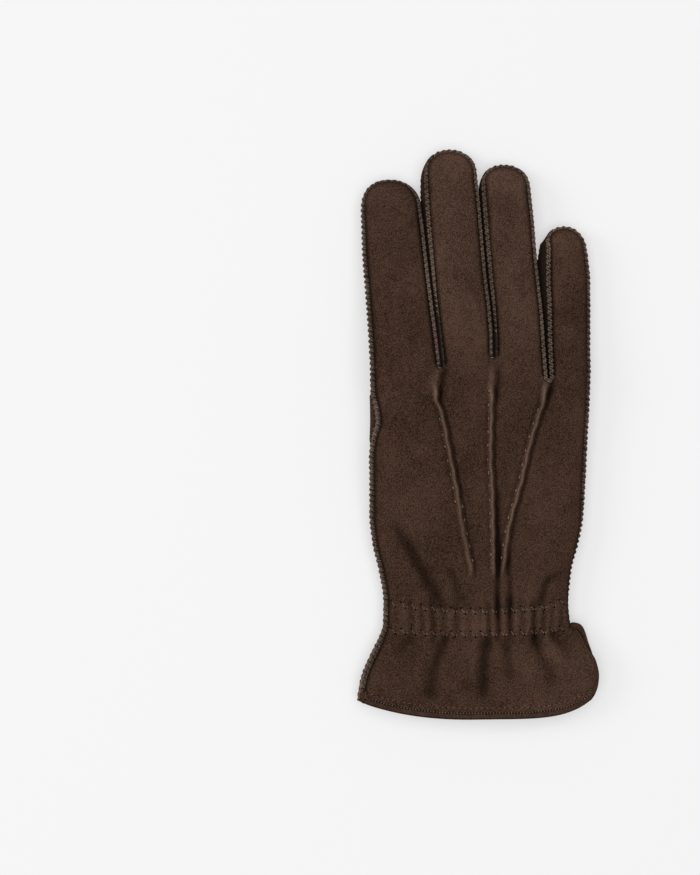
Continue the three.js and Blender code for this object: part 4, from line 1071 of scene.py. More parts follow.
def lip_shell(frames, first, last, side=1, lean=1, extra=0.0, material=1):
    """One raised edge of a seam between two lengths along it: a rounded strip, drawn in by every
    overcast stitch along a groove that leans as the stitch does."""
    at = np.arange(first + SEAM_STEP / 2, last, SEAM_STEP)
    centre, lip, panel = seam_at(frames, at)
    phase = (at[:, None] - lean * TWIST * LIP_EDGE[:, 1]) / OVERCAST_PITCH
    pinch = (0.5 + 0.5 * np.cos(2 * np.pi * phase)) ** PINCH_SHARP
    pinch = pinch * (1 + PINCH_UNEVEN * uneven(at))[:, None]
    longer, size = lip_size(frames, at[:, None], extra)
    drawn = stitch_pull(centre)[:, None] * pinch
    out = LIP_EDGE[:, 0] * (LIP + longer) * (1 - drawn)
    out = out * (1 + EDGE_UNEVEN * uneven(1.7 * at + 5))[:, None]
    share = 1 - (1 - size) * ramp(LIP_EDGE[:, 0], -0.1, 0.5)
    thick = SEAM_GAP / 2 + LIP_EDGE[:, 1] * WALL * share * (LIP_THICK - LIP_PRESSED * drawn * size)
    points, faces = sweep(centre, lip, panel, np.stack([out, side * thick], -1))
    low = LOW_SHADE[side] * ramp(size, *DIM_SIZE)
    root = ROOT_SHADE * size * (1 - ramp(LIP_EDGE[:, 0], 0.1, 0.7))
    # Painted shade in the grooves, at the root and on low edges in the slits, and a tone that differs at
    # random.
    shade = GROOVE_SHADE * size * pinch**0.7 + root + low + UNEVEN_SHADE * uneven(2.3 * at)[:, None]
    return points, faces, material, shade.reshape(-1)


def overcast(frames, at, random, extra=0.0, slant=TWIST, radius=THREAD):
    """Thread loops over both raised edges: an ellipse in the plane of lip and panel directions, whose
    ends go into the leather, slanted along the seam."""
    turn = np.linspace(-1, 1, 9)[None]
    angle = np.radians(LOOP_TURN) * turn
    each = (len(at), 1)
    slanted = slant * turn * random.uniform(*LOOP_SLANT, each)
    at = at[:, None] + slanted + random.normal(0, LOOP_STRAY, each)
    centre, lip, panel = seam_at(frames, at)
    longer, size = lip_size(frames, at, extra)
    drawn = stitch_pull(centre)
    hub = LOOP_HUB * size
    reach = (LIP + longer) * (1 - LOOP_DRAWN * drawn) + 0.5 * radius - hub
    wide = SEAM_GAP / 2 + WALL * size * (LIP_THICK - drawn) + 0.5 * radius
    paths = centre + lip * (hub + reach * np.cos(angle))[..., None]
    paths = paths + panel * (wide * np.sin(angle))[..., None]
    outside = unit(paths - centre - lip * 0.2)
    return cords(paths, outside, radius * random.uniform(*LOOP_THICK, len(paths)))


def overcast_pits(frames, at, extra, radius=0.5):
    """Where each loop goes into the leather on both sides of a seam."""
    sides = []
    for way in (1, -1):
        place = at + way * TWIST
        centre, lip, panel = seam_at(frames, place)
        size = lip_size(frames, place, extra)[1][:, None]
        deep = SEAM_GAP / 2 + WALL * size * PIT_PLACE[1]
        sides.append((*pits(centre + lip * size * PIT_PLACE[0] + way * panel * deep, way * panel, radius), 1))
    return sides


def stitch_places(first, last):
    """The overcast stitches between two lengths along a seam."""
    return OVERCAST_PITCH * np.arange(np.ceil(first / OVERCAST_PITCH), np.floor(last / OVERCAST_PITCH) + 1)


def fourchette(line, spans, gap):
    """The wall between two fingers, from its upper seam to its lower one all round the slit, and on
    to where the two seams meet. Its seams' inner edges end sooner."""
    turned = FINGER_STEPS + 1 + int(FORK_END / TIP_STEP)
    more = int(FORK_CLOSE / TIP_STEP)
    span = slice(spans[f"finger{gap + 1}"].stop - turned, spans[f"finger{gap}"].start + turned)
    wall = slice(span.start - more, span.stop + more)
    high = np.abs(line["back"][wall] - line["palm"][wall])
    drop = WALL * np.tan(np.radians(45 - line["lift"][wall] / 2))
    drop = np.minimum(drop, FORK_THIN * high)[:, None]
    part = np.linspace(0, 1, FORK_COLUMNS)[None, :, None]
    shown, inner = [], []
    for key in ("back", "palm"):
        frames = seam_frames(line, key)
        out = frames["out"][wall]
        inner.append(frames["points"][wall] - frames["panel"][wall] * SEAM_GAP / 2)
        shown.append(inner[-1] + out * WALL * FORK_WALL - np.array([0, 0, SIDE[key]]) * drop)
    shown = mix(shown[0][:, None], shown[1][:, None], part)
    shown = shown + FORK_BULGE * np.sin(np.pi * part) * out[:, None]
    return span, slab(shown, mix(inner[0][:, None], inner[1][:, None], part))


def slab(shown, inner):
    """A closed wall between two grids of the same size."""
    rows, columns = shown.shape[:2]
    ids = np.arange(rows * columns).reshape(rows, columns)
    faces = [grid_faces(ids), grid_faces(ids + ids.size)[:, ::-1]]
    for edge, flip in ((ids[0], 1), (ids[-1], -1), (ids[:, 0], -1), (ids[:, -1], 1)):
        faces.append(grid_faces(np.stack([edge, edge + ids.size]))[:, ::-flip])
    points = np.concatenate([shown.reshape(-1, 3), inner.reshape(-1, 3)])
    return points, outward(points, np.concatenate(faces))


# The thumb
def thumb_points(angle, y):
    """The thumb's superellipse tube at an angle round it and a place y along it."""
    power = 2 / THUMB_ROUND
    low, high = thumb["low"](y), thumb["high"](y)
    dx = thumb["half"](y) * np.sign(np.cos(angle)) * np.abs(np.cos(angle)) ** power
    dz = (high - low) / 2 * np.sign(np.sin(angle)) * np.abs(np.sin(angle)) ** power
    return stack(thumb["x"](y) + dx, y, (high + low) / 2 + dz)


def thumb_skin():
    """The tube from inside the palm to its tip, without what would stand inside the glove."""
    angle = np.linspace(0, 2 * np.pi, THUMB_SIDES + 1)[:, None]
    run = np.linspace(0, 1, THUMB_ROWS)
    y = mix(*THUMB_RUN, np.sin(run * np.pi / 2) ** THUMB_DENSE)[None]
    points, faces, _ = join([thumb_points(angle, y)])
    faces = outward(points, faces)
    centre = points[faces].mean(1)
    inside = centre[:, 2] > palm_height(centre[:, 0], centre[:, 1]) + WALL + THUMB_PROUD
    return points, faces[~inside]


def in_thumb(points):
    """How deep points lie in the thumb's section: below 1 is inside."""
    x, y, z = points.T
    low, high = thumb["low"](y), thumb["high"](y)
    flat = np.abs((x - thumb["x"](y)) / np.maximum(thumb["half"](y), 0.1)) ** THUMB_ROUND
    return flat + np.abs((z - (high + low) / 2) / np.maximum((high - low) / 2, 0.1)) ** THUMB_ROUND


def thumb_mouth(count):
    """Where the thumb meets the palm: for each angle, y is halved down to where the tube's height
    equals the palm's."""
    angle = np.linspace(0, 2 * np.pi, count)
    low, high = (np.full(count, y) for y in MOUTH_RUN)
    for _ in range(30):
        y = (low + high) / 2
        points = thumb_points(angle, y)
        above = points[:, 2] > palm_height(points[:, 0], y)
        low, high = np.where(above, y, low), np.where(above, high, y)
    return thumb_points(angle, (low + high) / 2)


def seam_along(points, lip):
    """A seam's frames from its line and the way that its edges stand out."""
    along = unit(np.gradient(points, axis=0))
    lip = unit(lip - along * (lip * along).sum(-1, keepdims=True))
    return dict(points=points, lip=lip, panel=np.cross(along, lip), length=run_length(points))


def thumb_seams():
    """The seam round the thumb's hole and the one along the thumb's inner side and its tip."""
    round_steps, side_steps = THUMB_SEAM_STEPS
    mouth = thumb_mouth(round_steps)
    away = (mouth - mouth.mean(0)) * np.array([1, 1, 0])
    run = np.linspace(0.02, 1, side_steps)
    side_y = mix(mouth[0, 1], THUMB_TOP, np.sin(run * np.pi / 2))
    side = thumb_points(0 * side_y, side_y)
    out = np.gradient(side, axis=0)
    return seam_along(mouth, unit(away) + MOUTH_LEAN), seam_along(side, stack(out[:, 1], -out[:, 0], 0))


# Writing meshes
def make_piece(name, shells, materials):
    """One object from closed shells, flattened where it rests. Each shell is its points, its faces,
    and then where they differ from 0 its material and the shade of its leading points."""
    points, faces, kinds, shades, count = [], [], [], [], 0
    for shell in shells:
        kind = shell[2] if len(shell) > 2 else 0
        shade = shell[3] if len(shell) > 3 else np.zeros(0)
        points.append(shell[0])
        faces.append(shell[1] + count)
        kinds.append(np.full(len(shell[1]), kind))
        shades.append(np.concatenate([shade, np.zeros(len(shell[0]) - len(shade))]))
        count += len(shell[0])
    points, faces = np.concatenate(points), np.concatenate(faces)
    points[:, 2] = np.maximum(points[:, 2], 0)
    mesh = bpy.data.meshes.new(name)
    mesh.from_pydata((points * MM).tolist(), [], faces.tolist())
    mesh.polygons.foreach_set("use_smooth", np.ones(len(faces), bool))
    mesh.polygons.foreach_set("material_index", np.concatenate(kinds))
    mesh.attributes.new("shade", "FLOAT", "POINT").data.foreach_set("value", np.concatenate(shades))
    for material in materials:
        mesh.materials.append(material)
    mesh.update()
    piece = bpy.data.objects.new(name, mesh)
    bpy.context.collection.objects.link(piece)
    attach(piece, "root")
    return piece


# The bound hem
def hem_path(hand, frames, key, step=0.7):
    """The cuff's free edge from the end of the sewn edge's lip along the hem, round the corner and up
    the vent's flap, at even steps: its points, and directions out of the edge and off the leather."""
    normal = SIDE[key] * unit(np.cross(np.gradient(hand, axis=1), np.gradient(hand, axis=0)))
    points, lip, panel = (frames[name][-1:] for name in ("points", "lip", "panel"))
    start = points + lip * (LIP + BRAID_LIP - HEM_TUCKED) + panel * (SEAM_GAP / 2 + WALL)
    line = np.concatenate([start, hand[0, 1:], hand[1:CUFF_ROWS, -1]])
    facing = np.concatenate([panel, normal[0, 1:], normal[1:CUFF_ROWS, -1]])
    length = run_length(line)
    at = np.arange(0, length[-1], step)
    points = read_off(at, length, line)
    facing = unit(read_off(at, length, facing))
    out = unit(np.cross(unit(np.gradient(points, axis=0)), facing) * SIDE[key])
    return dict(at=at, points=points, out=out, up=facing)


def binding(path, nose_shade):
    """A strip folded over the edge: two flat leaves and a half-round nose. The leaves reach inwards by
    the binding's width, and further where they cover the end of the sewn edge."""
    thick, gap, nose = BINDING_FORM
    turn = np.linspace(np.pi / 2, -np.pi / 2, 9)
    middle, reach = -WALL / 2, WALL / 2 + gap + thick
    top, low = middle + reach, middle - reach
    round_nose = stack(0, 0.1 + nose * np.cos(turn), middle + reach * np.sin(turn))
    # (share of the width inwards, out, up)
    upper = np.array([(-1, 0, gap - 0.3), (-1, -0.05, gap + 0.3), (-1, 0.18, top - 0.12), (-1, 0.5, top)])
    lower = np.array([(-1, 0.5, low), (-1, 0.18, low + 0.12), (-1, 0, low + thick)])
    inside = np.array([(0, 0, -WALL - gap), (0, 0.15, middle), (0, 0, gap)])
    places = np.concatenate([upper, round_nose, lower, inside])
    x, y = path["points"][:, 0], path["points"][:, 1]
    wide = BINDING_WIDE + CORNER_TAB * (1 - ramp(path["at"], *CORNER_RUN))
    wide = wide - VENT_NARROW * ramp(y, *VENT_RUN) * (x > 0)
    short = np.clip(TAB_ROUND - path["at"], 0, None)
    short = TAB_ROUND - np.sqrt(TAB_ROUND**2 - short**2)
    out = places[:, 1] + (wide - 0.5 * short)[:, None] * places[:, 0] - short[:, None] * (places[:, 0] == 0)
    profile = stack(out, places[:, 2])
    shade = np.zeros(len(places))
    # Painted shade round the nose below its top.
    shade[len(upper):len(upper) + len(turn)] = nose_shade * smooth((np.pi / 2 - turn - 0.1) / 0.4)
    points, faces = sweep(path["points"], path["out"], path["up"], profile)
    return points, faces, 0, np.tile(shade, len(path["points"]))


# Threads laid on the back
def stitch_paths(starts, stops, skin, steps=7, lift=0.16, sink=0.5):
    """Straight stitches in plan from starts to stops, laid on the leather. Their ends dive into it: from
    lift in the middle, by sink times the sixth power of the way to an end."""
    part = np.linspace(0, 1, steps)
    plan = mix(starts[:, None], stops[:, None], part[None, :, None])
    rise = lift - sink * np.abs(2 * part - 1) ** 6
    return lay(skin, plan, np.broadcast_to(rise, plan.shape[:-1]))


def needle_holes(plan, skin, radius=0.3, lift=0.07):
    """Pits at places in plan, just proud of the leather."""
    return pits(*lay(skin, plan, lift), radius)


def pits(centre, facing, radius):
    """Needle holes as small six-sided cups, whose near-black material paints the shade inside them."""
    side = unit(np.cross(facing, [0.1, 1.0, 0.0]))
    other = np.cross(facing, side)
    turn = 2 * np.pi * np.arange(6) / 6
    around = side[:, None] * np.cos(turn)[:, None] + other[:, None] * np.sin(turn)[:, None]
    deep = centre - PIT_DEEP * facing
    points = np.concatenate([centre[:, None] + radius * around, centre[:, None], deep[:, None]], axis=1)
    a, b = np.arange(6), (np.arange(6) + 1) % 6
    one = np.concatenate([np.stack([a, b, 6 + 0 * a], -1), np.stack([b, a, 7 + 0 * a], -1)])
    return points.reshape(-1, 3), (one[None] + 8 * np.arange(len(centre))[:, None, None]).reshape(-1, 3)


def zigzag(row, skin):
    """One row over the elastic: strokes down to the right and up to the next, and their holes."""
    x = np.arange(*ZIGZAG_RUN, ZIGZAG_PITCH)
    top = stack(x, elastic[row](x) + ZIGZAG_HIGH / 2)
    low_x = x + ZIGZAG_TURN * ZIGZAG_PITCH
    low = stack(low_x, elastic[row](low_x) - ZIGZAG_HIGH / 2)
    threads = []
    ends = ((top, low), (low[:-1], top[1:]))
    for (start, stop), first, last, lift, radius in zip(ends, *ZIGZAG_STROKES.values()):
        paths, facing = stitch_paths(mix(start, stop, first), mix(start, stop, last), skin, lift=lift)
        points, faces = cords(paths, facing, radius)
        threads.append((points, faces, 0, np.full(len(points), ZIGZAG_SHADE)))
    return threads, (*needle_holes(np.concatenate([top, low]), skin, ZIGZAG_HOLE), 1)


def tuck_stitches(skin, random):
    """Short running stitches along the foot of each tuck, and the holes at their ends."""
    form = TUCK_STITCH
    threads, holes = [], []
    for tuck, side, top, low in TUCK_STITCHES:
        line = tucks[tuck]
        y = np.arange(top, low, -TUCK_PITCH)
        y = y + random.normal(0, form["uneven"], len(y))
        ends = [stack(line(place) + side, place) for place in (y, y - form["length"])]
        threads.append(cords(*stitch_paths(*ends, skin, lift=form["lift"]), form["radius"]))
        holes.append((*needle_holes(np.concatenate(ends), skin, form["hole"]), 1))
    return threads + holes


def hem_row(path, skin, inside, pitch, radius, hole, top):
    """A row of small stitches along the hem, so far inside the binding, and their holes. It ends at y
    = top beside the vent."""
    at = np.arange(CORNER_TAB + HEM_ROW_START, path["at"][-1] - 1, pitch)
    edge = path["points"] - path["out"] * (BINDING_WIDE + inside)
    plan = stack(np.interp(at, path["at"], edge[:, 0]), np.interp(at, path["at"], edge[:, 1]))
    plan = plan[(plan[:, 0] < 0) | (plan[:, 1] < top)]
    paths, facing = stitch_paths(plan[:-1], mix(plan[:-1], plan[1:], 0.5), skin, steps=5, lift=0.14)
    holes = needle_holes(mix(plan[:-1], plan[1:], 0.75), skin, hole)
    return [cords(paths, facing, radius, sides=5), (*holes, 1)]


def tab_row(skin):
    """The short row down the binding's wide end, on top of its leaf."""
    form = TAB_ROW
    y = np.arange(form["top"], form["low"], -form["pitch"])
    plan = stack(form["x"] + form["slope"] * (y + 117), y)
    stops = mix(plan[:-1], plan[1:], 0.5)
    paths, facing = stitch_paths(plan[:-1], stops, skin, steps=5, lift=form["lift"])
    threads = cords(paths, facing, form["radius"], sides=5)
    return [threads, (*needle_holes(plan, skin, form["hole"], 1.0), 1)]


# Finishes
# The nap's noises: waves a metre, detail, roughness, and stretch where it has one.
NAP = {
    "blotch": (38, 4, 0.6),
    "streak": (240, 3, 0.6, (1, 0.45, 1)),
    "clump": (1800, 2, 0.6),
    "grain": (3800, 1, 0.6),
    "fibre": (1700, 1, 0.5),
}
STREAK_TONE = 0.6
GRAIN_TONE = 0.9
FIBRE_FROM = 0.72  # pale fibre ends show where the noise is above this
FIBRE_SHARP = 7.0  # and how quickly
FIBRE_COLOUR = (0.20, 0.15, 0.12, 1)  # half of this colour and half of the light nap's
# Shade below 0 paints highlights and makes places paler, towards this colour:
HIGHLIGHT_AND_PALE_COLOUR = (0.165, 0.112, 0.082, 1)
HIGHLIGHT_AND_PALE_GREY = 0.08  # how far the colour turns to that one, for each 1 below 0 of its shade
HIGHLIGHT_AND_PALE_LIGHT = 0.35  # and how much lighter it is
SHADE_AND_TONE_DARK = 0.62  # how much darker it is for each 1 above 0 of its shade: painted shade, and the zigzag thread's darker tone
DARKEST = 0.8  # and at most by this share
NAP_ROUGH = (0.12, 0.92)  # roughness: so much of the grain, on this
NAP_BUMP = 0.7
SHEEN_COLOUR = (0.72, 0.58, 0.48, 1)
FINISHES = {  # dark and light colour, and where one differs from finish_of's own values
    "suede": ((0.0165, 0.0083, 0.0054), (0.082, 0.0455, 0.0310), {}),
    # a darker copy of the suede: painted shade on the walls between the fingers
    "suede_fourchette": ((0.0145, 0.0084, 0.0062), (0.048, 0.029, 0.0205), dict(blotch=0.6)),
    "edge_binding": ((0.021, 0.0108, 0.0070), (0.084, 0.047, 0.0320), dict(grain=2.2)),
    "raw_edge": ((0.040, 0.026, 0.0195), (0.185, 0.129, 0.098), dict(grain=3.0, depth=0.12)),
    "thread": ((0.090, 0.062, 0.047), (0.300, 0.220, 0.170), dict(grain=2.4, fibres=0.2)),
    # near black: painted shade inside the needle holes
    "needle_hole_shade": ((0.004, 0.0026, 0.002), (0.008, 0.005, 0.004), dict(fibres=0)),
}


def node_group(name, inputs, outputs):
    """A shader node group with named sockets, and its input and output nodes."""
    group = bpy.data.node_groups.new(name, "ShaderNodeTree")
    for label, kind, value in inputs:
        socket = group.interface.new_socket(label, in_out="INPUT", socket_type=f"NodeSocket{kind}")
        socket.default_value = value
    for label, kind in outputs:
        group.interface.new_socket(label, in_out="OUTPUT", socket_type=f"NodeSocket{kind}")
    return group, group.nodes.new("NodeGroupInput"), group.nodes.new("NodeGroupOutput")


def feed(tree, node, values):
    """Sets a node's inputs, by name or place, or links them where the value is a socket."""
    for name, value in values.items():
        if isinstance(value, bpy.types.NodeSocket):
            tree.links.new(value, node.inputs[name])
        else:
            node.inputs[name].default_value = value
    return node


def noise(tree, scale, detail, rough, stretch=(1, 1, 1)):
    """A noise on the glove's own coordinates, so many waves a metre, drawn out along one axis."""
    place = tree.nodes.new("ShaderNodeTexCoord")
    turn = tree.nodes.new("ShaderNodeMapping")
    wave = tree.nodes.new("ShaderNodeTexNoise")
    feed(tree, turn, {"Vector": place.outputs["Object"], "Scale": stretch})
    feed(tree, wave, {"Vector": turn.outputs["Vector"], "Scale": scale, "Detail": detail, "Roughness": rough})
    return wave.outputs["Fac"]


def maths(tree, operation, a, b=0.5, c=0.0, clamp=False):
    """A Math node; a, b and c are sockets or numbers."""
    node = tree.nodes.new("ShaderNodeMath")
    node.operation = operation
    node.use_clamp = clamp
    return feed(tree, node, {0: a, 1: b, 2: c}).outputs[0]


def blend_colours(tree, factor, a, b):
    """A colour Mix node; factor, a and b are sockets or values."""
    node = tree.nodes.new("ShaderNodeMix")
    node.data_type = "RGBA"
    return feed(tree, node, {"Factor": factor, 6: a, 7: b}).outputs[2]


def nap_group():
    """Suede's nap: soft blotches where it was brushed one way or the other, short streaks, a fine
    grain and scattered pale fibre ends. Shade above 0 darkens it: painted shade, and the zigzag thread's
    darker tone. Shade below 0 lightens it: painted highlights and paler places."""
    inputs = (("Dark", "Color", (0, 0, 0, 1)), ("Light", "Color", (1, 1, 1, 1)), ("Grain", "Float", 1.0),
              ("Blotch", "Float", 1.0), ("Fibres", "Float", 1.0), ("Shade", "Float", 0.0))
    outputs = (("Color", "Color"), ("Height", "Float"), ("Roughness", "Float"))
    group, nodes_in, result = node_group("suede nap", inputs, outputs)
    given = nodes_in.outputs
    blotch, streak, clump, grain = (
        maths(group, "SUBTRACT", noise(group, *NAP[name]), 0.5)
        for name in ("blotch", "streak", "clump", "grain"))
    tone = maths(group, "MULTIPLY", blotch, given["Blotch"])
    tone = maths(group, "MULTIPLY_ADD", streak, STREAK_TONE, tone)
    fuzz = maths(group, "MULTIPLY_ADD", grain, GRAIN_TONE, clump)
    tone = maths(group, "MULTIPLY_ADD", fuzz, given["Grain"], tone)
    tone = maths(group, "ADD", tone, 0.5, clamp=True)
    colour = blend_colours(group, tone, given["Dark"], given["Light"])
    ends = maths(group, "SUBTRACT", noise(group, *NAP["fibre"]), FIBRE_FROM)
    ends = maths(group, "MULTIPLY", ends, FIBRE_SHARP, clamp=True)
    ends = maths(group, "MULTIPLY", ends, given["Fibres"])
    pale = blend_colours(group, 0.5, given["Light"], FIBRE_COLOUR)
    colour = blend_colours(group, ends, colour, pale)
    # Painted shade darkens; painted highlights and paler places lighten and grey the colour.
    greyed = maths(group, "MULTIPLY", given["Shade"], -HIGHLIGHT_AND_PALE_GREY, clamp=True)
    colour = blend_colours(group, greyed, colour, HIGHLIGHT_AND_PALE_COLOUR)
    shaded = maths(group, "MULTIPLY", given["Shade"], -SHADE_AND_TONE_DARK)
    lightened = maths(group, "MULTIPLY", given["Shade"], -HIGHLIGHT_AND_PALE_LIGHT)
    change = maths(group, "MINIMUM", shaded, lightened)
    change = maths(group, "MAXIMUM", change, -DARKEST)
    gain = maths(group, "ADD", change, 1.0)
    scaled = group.nodes.new("ShaderNodeVectorMath")
    scaled.operation = "SCALE"
    feed(group, scaled, {0: colour, "Scale": gain})
    height = maths(group, "MULTIPLY_ADD", streak, 0.5, fuzz)
    rough = maths(group, "MULTIPLY_ADD", fuzz, *NAP_ROUGH)
    feed(group, result, {"Color": scaled.outputs[0], "Height": height, "Roughness": rough})
    return group


def finish_of(name, nap, dark, light, grain=3.8, blotch=1.4, fibres=0.5, depth=0.08):
    """A material of the nap group: colour and roughness from it, and its grain as a bump."""
    material = bpy.data.materials.new(name)
    material.use_nodes = True
    tree = material.node_tree
    shader = tree.nodes["Principled BSDF"]
    pile = tree.nodes.new("ShaderNodeGroup")
    pile.node_tree = nap
    shade = tree.nodes.new("ShaderNodeAttribute")
    shade.attribute_name = "shade"
    bump = tree.nodes.new("ShaderNodeBump")
    feed(tree, pile, {"Dark": (*dark, 1), "Light": (*light, 1), "Grain": grain, "Blotch": blotch,
                      "Fibres": fibres, "Shade": shade.outputs["Fac"]})
    feed(tree, bump, {"Height": pile.outputs["Height"], "Strength": NAP_BUMP, "Distance": depth * MM})
    feed(tree, shader, {"Base Color": pile.outputs["Color"], "Roughness": pile.outputs["Roughness"],
                        "Normal": bump.outputs["Normal"], "Specular IOR Level": 0.0,
                        "Sheen Weight": 0.03, "Sheen Roughness": 0.5, "Sheen Tint": SHEEN_COLOUR})
    return material


# The glove
def edge_lengths(line, spans):
    """How much longer than LIP each panel's raised edges are at every station."""
    wide = LIP * (line["size"] - 1)
    wide[spans["cuff"]] = BRAID_LIP * braid(np.linspace(0, 1, CUFF_ROWS + 1))
    for name, bump in (("left", NOTCH), ("right", WRIST)):
        wide[spans[name]] = bump["lip"] * bell(line["y"][spans[name]] - bump["y"], bump["half"])
    low = np.where(line["lift"] > 1, np.minimum(wide, LIP * (LOW_SIZE - 1)), wide)
    return {"back": wide, "palm": low}


def add_panels(line, spans, made, extras, looks):
    """The back and the palm. Returns the shown skin, the hand's grid and the seam of each."""
    skins, hands, seams = {}, {}, {}
    for key in ("back", "palm"):
        frames, points, faces, shade, hand = panel_skin(line, spans, made, key)
        if key == "palm":
            faces = faces[in_thumb(points[faces].mean(1)) > THUMB_HOLE]
        lips = lip_shell(frames, 0, frames["length"][-1], lean=SIDE[key], extra=extras[key])
        shells = [(*leather(points, faces), 0, shade), lips]
        piece = make_piece(f"{key}_leather", shells, [looks["suede"], looks["raw_edge"]])
        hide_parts(f"{key}_panel")
        skins[key], hands[key], seams[key] = (points, point_normals(points, faces)), hand, frames
    return skins, hands, seams


def add_fourchettes(line, spans, seams, extras, looks, random):
    """The three walls between the fingers. Returns the stitches of their seams on the palm."""
    loops = []
    for gap, name in enumerate(("index_middle", "middle_ring", "ring_little")):
        span, body = fourchette(line, spans, gap)
        shells = [body]
        for key in ("back", "palm"):
            frames = seams[key]
            first, last = frames["length"][span.start], frames["length"][span.stop - 1]
            shells.append(lip_shell(frames, first, last, side=-1, lean=-SIDE[key], extra=extras[key]))
            if key == "palm":
                loops.append(overcast(frames, stitch_places(first, last), random, extra=extras[key]))
        materials = [looks["suede_fourchette"], looks["raw_edge"]]
        piece = make_piece(f"fourchette_leather_{name}", shells, materials)
        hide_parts(f"fourchette_{name}")
    return loops


def add_bindings(hands, seams, looks):
    """The strips over the hem and the vent's edges. Returns the edges' paths."""
    paths = {key: hem_path(hands[key], seams[key], key) for key in ("back", "palm")}
    for key in ("back", "palm"):
        strip = binding(paths[key], NOSE_SHADE[key])
        piece = make_piece(f"hem_binding_{key}", [strip], [looks["edge_binding"]])
        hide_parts(f"binding_{key}")
    return paths


def add_thumb(looks, random):
    """The thumb with the raised edges of its two seams. Returns their stitches."""
    shells, loops, free = [leather(*thumb_skin())], [], OVERCAST_FREE["thumb"]
    for frames in thumb_seams():
        total = frames["length"][-1]
        for way in (1, -1):
            shells.append(lip_shell(frames, 0, total, side=way, lean=way))
        loops.append(overcast(frames, stitch_places(free, total - free), random))
    piece = make_piece("thumb_leather", shells, [looks["suede"], looks["raw_edge"]])
    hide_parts("thumb")
    return loops


def add_overcast(line, spans, frames, wide, loops, looks, random):
    """Every overcast stitch: those round the back are added, with the crossed threads that make a
    braid of the cuff's edge and of the notch."""
    free = OVERCAST_FREE["back"]
    end = frames["length"][-1] - free
    places = stitch_places(free, end)
    places = places[lip_size(frames, places, wide)[1] > HIDDEN_SIZE]
    cuff_start = frames["length"][spans["cuff"].start]
    to_notch = line["y"][spans["cuff"].start] - NOTCH["y"]
    notch = cuff_start + to_notch + NOTCH["half"] * np.array(NOTCH_CROSSED)
    crossing = [np.arange(*notch, BRAID_PITCH), np.arange(cuff_start + BRAID_FREE, end, BRAID_PITCH)]
    crossing = np.concatenate(crossing)
    loops = loops + [
        overcast(frames, at, random, extra=extra, slant=slant, radius=radius)
        for at, extra, slant, radius in (
            (places, wide, TWIST, THREAD),
            (crossing, wide * BRAID_WIDE, -BRAID_SLANT, BRAID_THREAD),
            (crossing + BRAID_PITCH / 2, wide, BRAID_SLANT, BRAID_THREAD))]
    loops += overcast_pits(frames, places, wide)
    piece = make_piece("overcast_stitches", loops, [looks["thread"], looks["needle_hole_shade"]])


def add_rows(skins, paths, looks, random):
    """The stitches that lie on the leather: the elastic's zigzags, the tucks' and the hem's."""
    materials = [looks["thread"], looks["needle_hole_shade"]]
    skin = skins["back"]
    upper, upper_holes = zigzag("upper", skin)
    lower, lower_holes = zigzag("lower", skin)
    piece = make_piece("elastic_stitches", [*upper, *lower, upper_holes, lower_holes], materials)
    piece = make_piece("tuck_stitches", tuck_stitches(skin, random), materials)
    rows = tab_row(skin)
    for key in ("back", "palm"):
        for form in zip(*HEM_ROWS.values()):
            rows += hem_row(paths[key], skins[key], *form, HEM_ROW_TOP[key])
    piece = make_piece("hem_stitches", rows, materials)


def build_glove():
    """Every piece of the glove, each over the solid that it stands for."""
    random = np.random.default_rng(SEED)
    nap = nap_group()
    looks = {}
    for name, (dark, light, more) in FINISHES.items():
        looks[name] = finish_of(name, nap, dark, light, **more)
    line, spans, made = sewn_line()
    extras = edge_lengths(line, spans)
    skins, hands, seams = add_panels(line, spans, made, extras, looks)
    loops = add_fourchettes(line, spans, seams, extras, looks, random)
    paths = add_bindings(hands, seams, looks)
    loops += add_thumb(looks, random)
    add_overcast(line, spans, seams["back"], extras["back"], loops, looks, random)
    add_rows(skins, paths, looks, random)


# The scene
FLOOR_SIZE = 4.0
VIEW_LONG = 0.4025  # metres of the table along the frame's long side
VIEW_CENTRE = (-0.0592, -0.0009)
VIEW_HEIGHT = 1.0  # of the camera above the level at which those sizes hold
VIEW_LEVEL = 0.008
SENSOR = 36
LAMPS = (  # place, size and power of the large lights; all face the glove
    ("overhead", (0.0, 0.0, 2.4), 3.0, 53),
    ("left", (-2.6, 0.5, 1.7), 1.3, 24),
)
WHITE = (1, 1, 1, 1)
SKY = 0.26
TABLE = 0.5  # the light table's own colour and glow
GLOW = 0.415


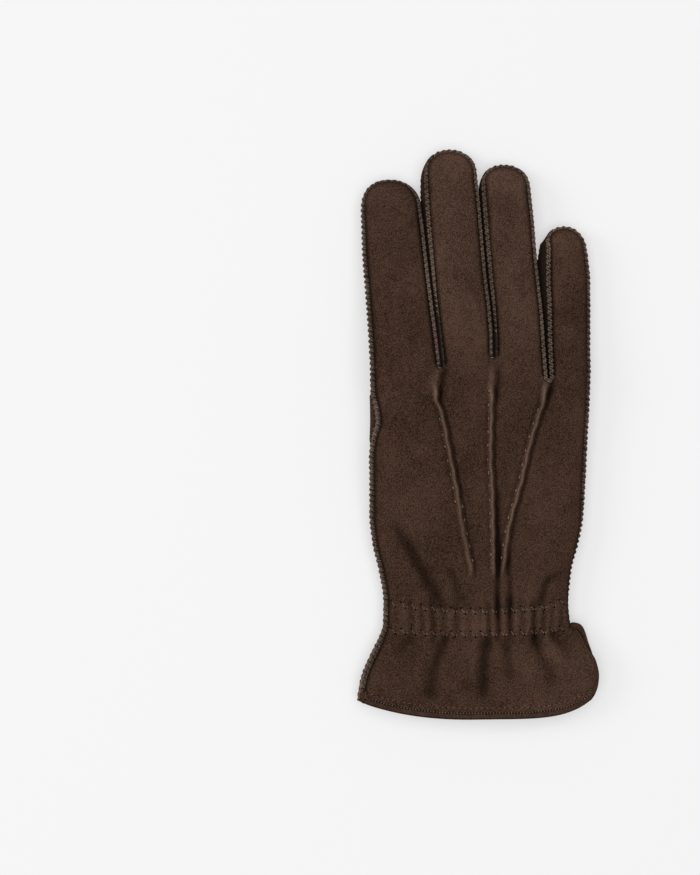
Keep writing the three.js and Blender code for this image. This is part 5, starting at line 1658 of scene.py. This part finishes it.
def add_scene():
    """A pale table, a large soft light overhead and a weaker one at the left, even light from all
    round, and a camera that looks straight down."""
    half = FLOOR_SIZE / 2
    mesh = bpy.data.meshes.new("table")
    corners = [(-half, -half, 0), (half, -half, 0), (half, half, 0), (-half, half, 0)]
    mesh.from_pydata(corners, [], [(0, 1, 2, 3)])
    floor = bpy.data.objects.new("table", mesh)
    floor.location.z = -0.0002
    bpy.context.collection.objects.link(floor)
    paint = bpy.data.materials.new("table")
    paint.use_nodes = True
    feed(paint.node_tree, paint.node_tree.nodes["Principled BSDF"], {
        "Base Color": (TABLE, TABLE, TABLE, 1), "Emission Color": WHITE, "Emission Strength": GLOW,
        "Roughness": 0.9, "Specular IOR Level": 0.1})
    mesh.materials.append(paint)

    for name, place, size, power in LAMPS:
        lamp = bpy.data.lights.new(name, "AREA")
        lamp.size = size
        lamp.energy = power
        light = bpy.data.objects.new(name, lamp)
        light.location = place
        light.rotation_euler = (-light.location).to_track_quat("-Z", "Y").to_euler()
        bpy.context.collection.objects.link(light)
    sky = bpy.data.worlds.new("studio")
    sky.use_nodes = True
    feed(sky.node_tree, sky.node_tree.nodes["Background"], {"Color": WHITE, "Strength": SKY})
    bpy.context.scene.world = sky
    bpy.context.scene.view_settings.view_transform = "Standard"

    lens = bpy.data.cameras.new("camera")
    lens.sensor_width = SENSOR
    lens.lens = SENSOR * VIEW_HEIGHT / VIEW_LONG
    camera = bpy.data.objects.new("camera", lens)
    camera.location = (*VIEW_CENTRE, VIEW_HEIGHT + VIEW_LEVEL)
    bpy.context.collection.objects.link(camera)
    bpy.context.scene.camera = camera


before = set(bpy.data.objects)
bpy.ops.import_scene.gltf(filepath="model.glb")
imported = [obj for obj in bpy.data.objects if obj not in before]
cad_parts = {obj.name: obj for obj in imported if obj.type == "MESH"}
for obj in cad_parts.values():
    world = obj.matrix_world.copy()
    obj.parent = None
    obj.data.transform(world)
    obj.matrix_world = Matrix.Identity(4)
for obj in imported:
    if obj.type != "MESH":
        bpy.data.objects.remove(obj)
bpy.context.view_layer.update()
add_scene()
build_glove()
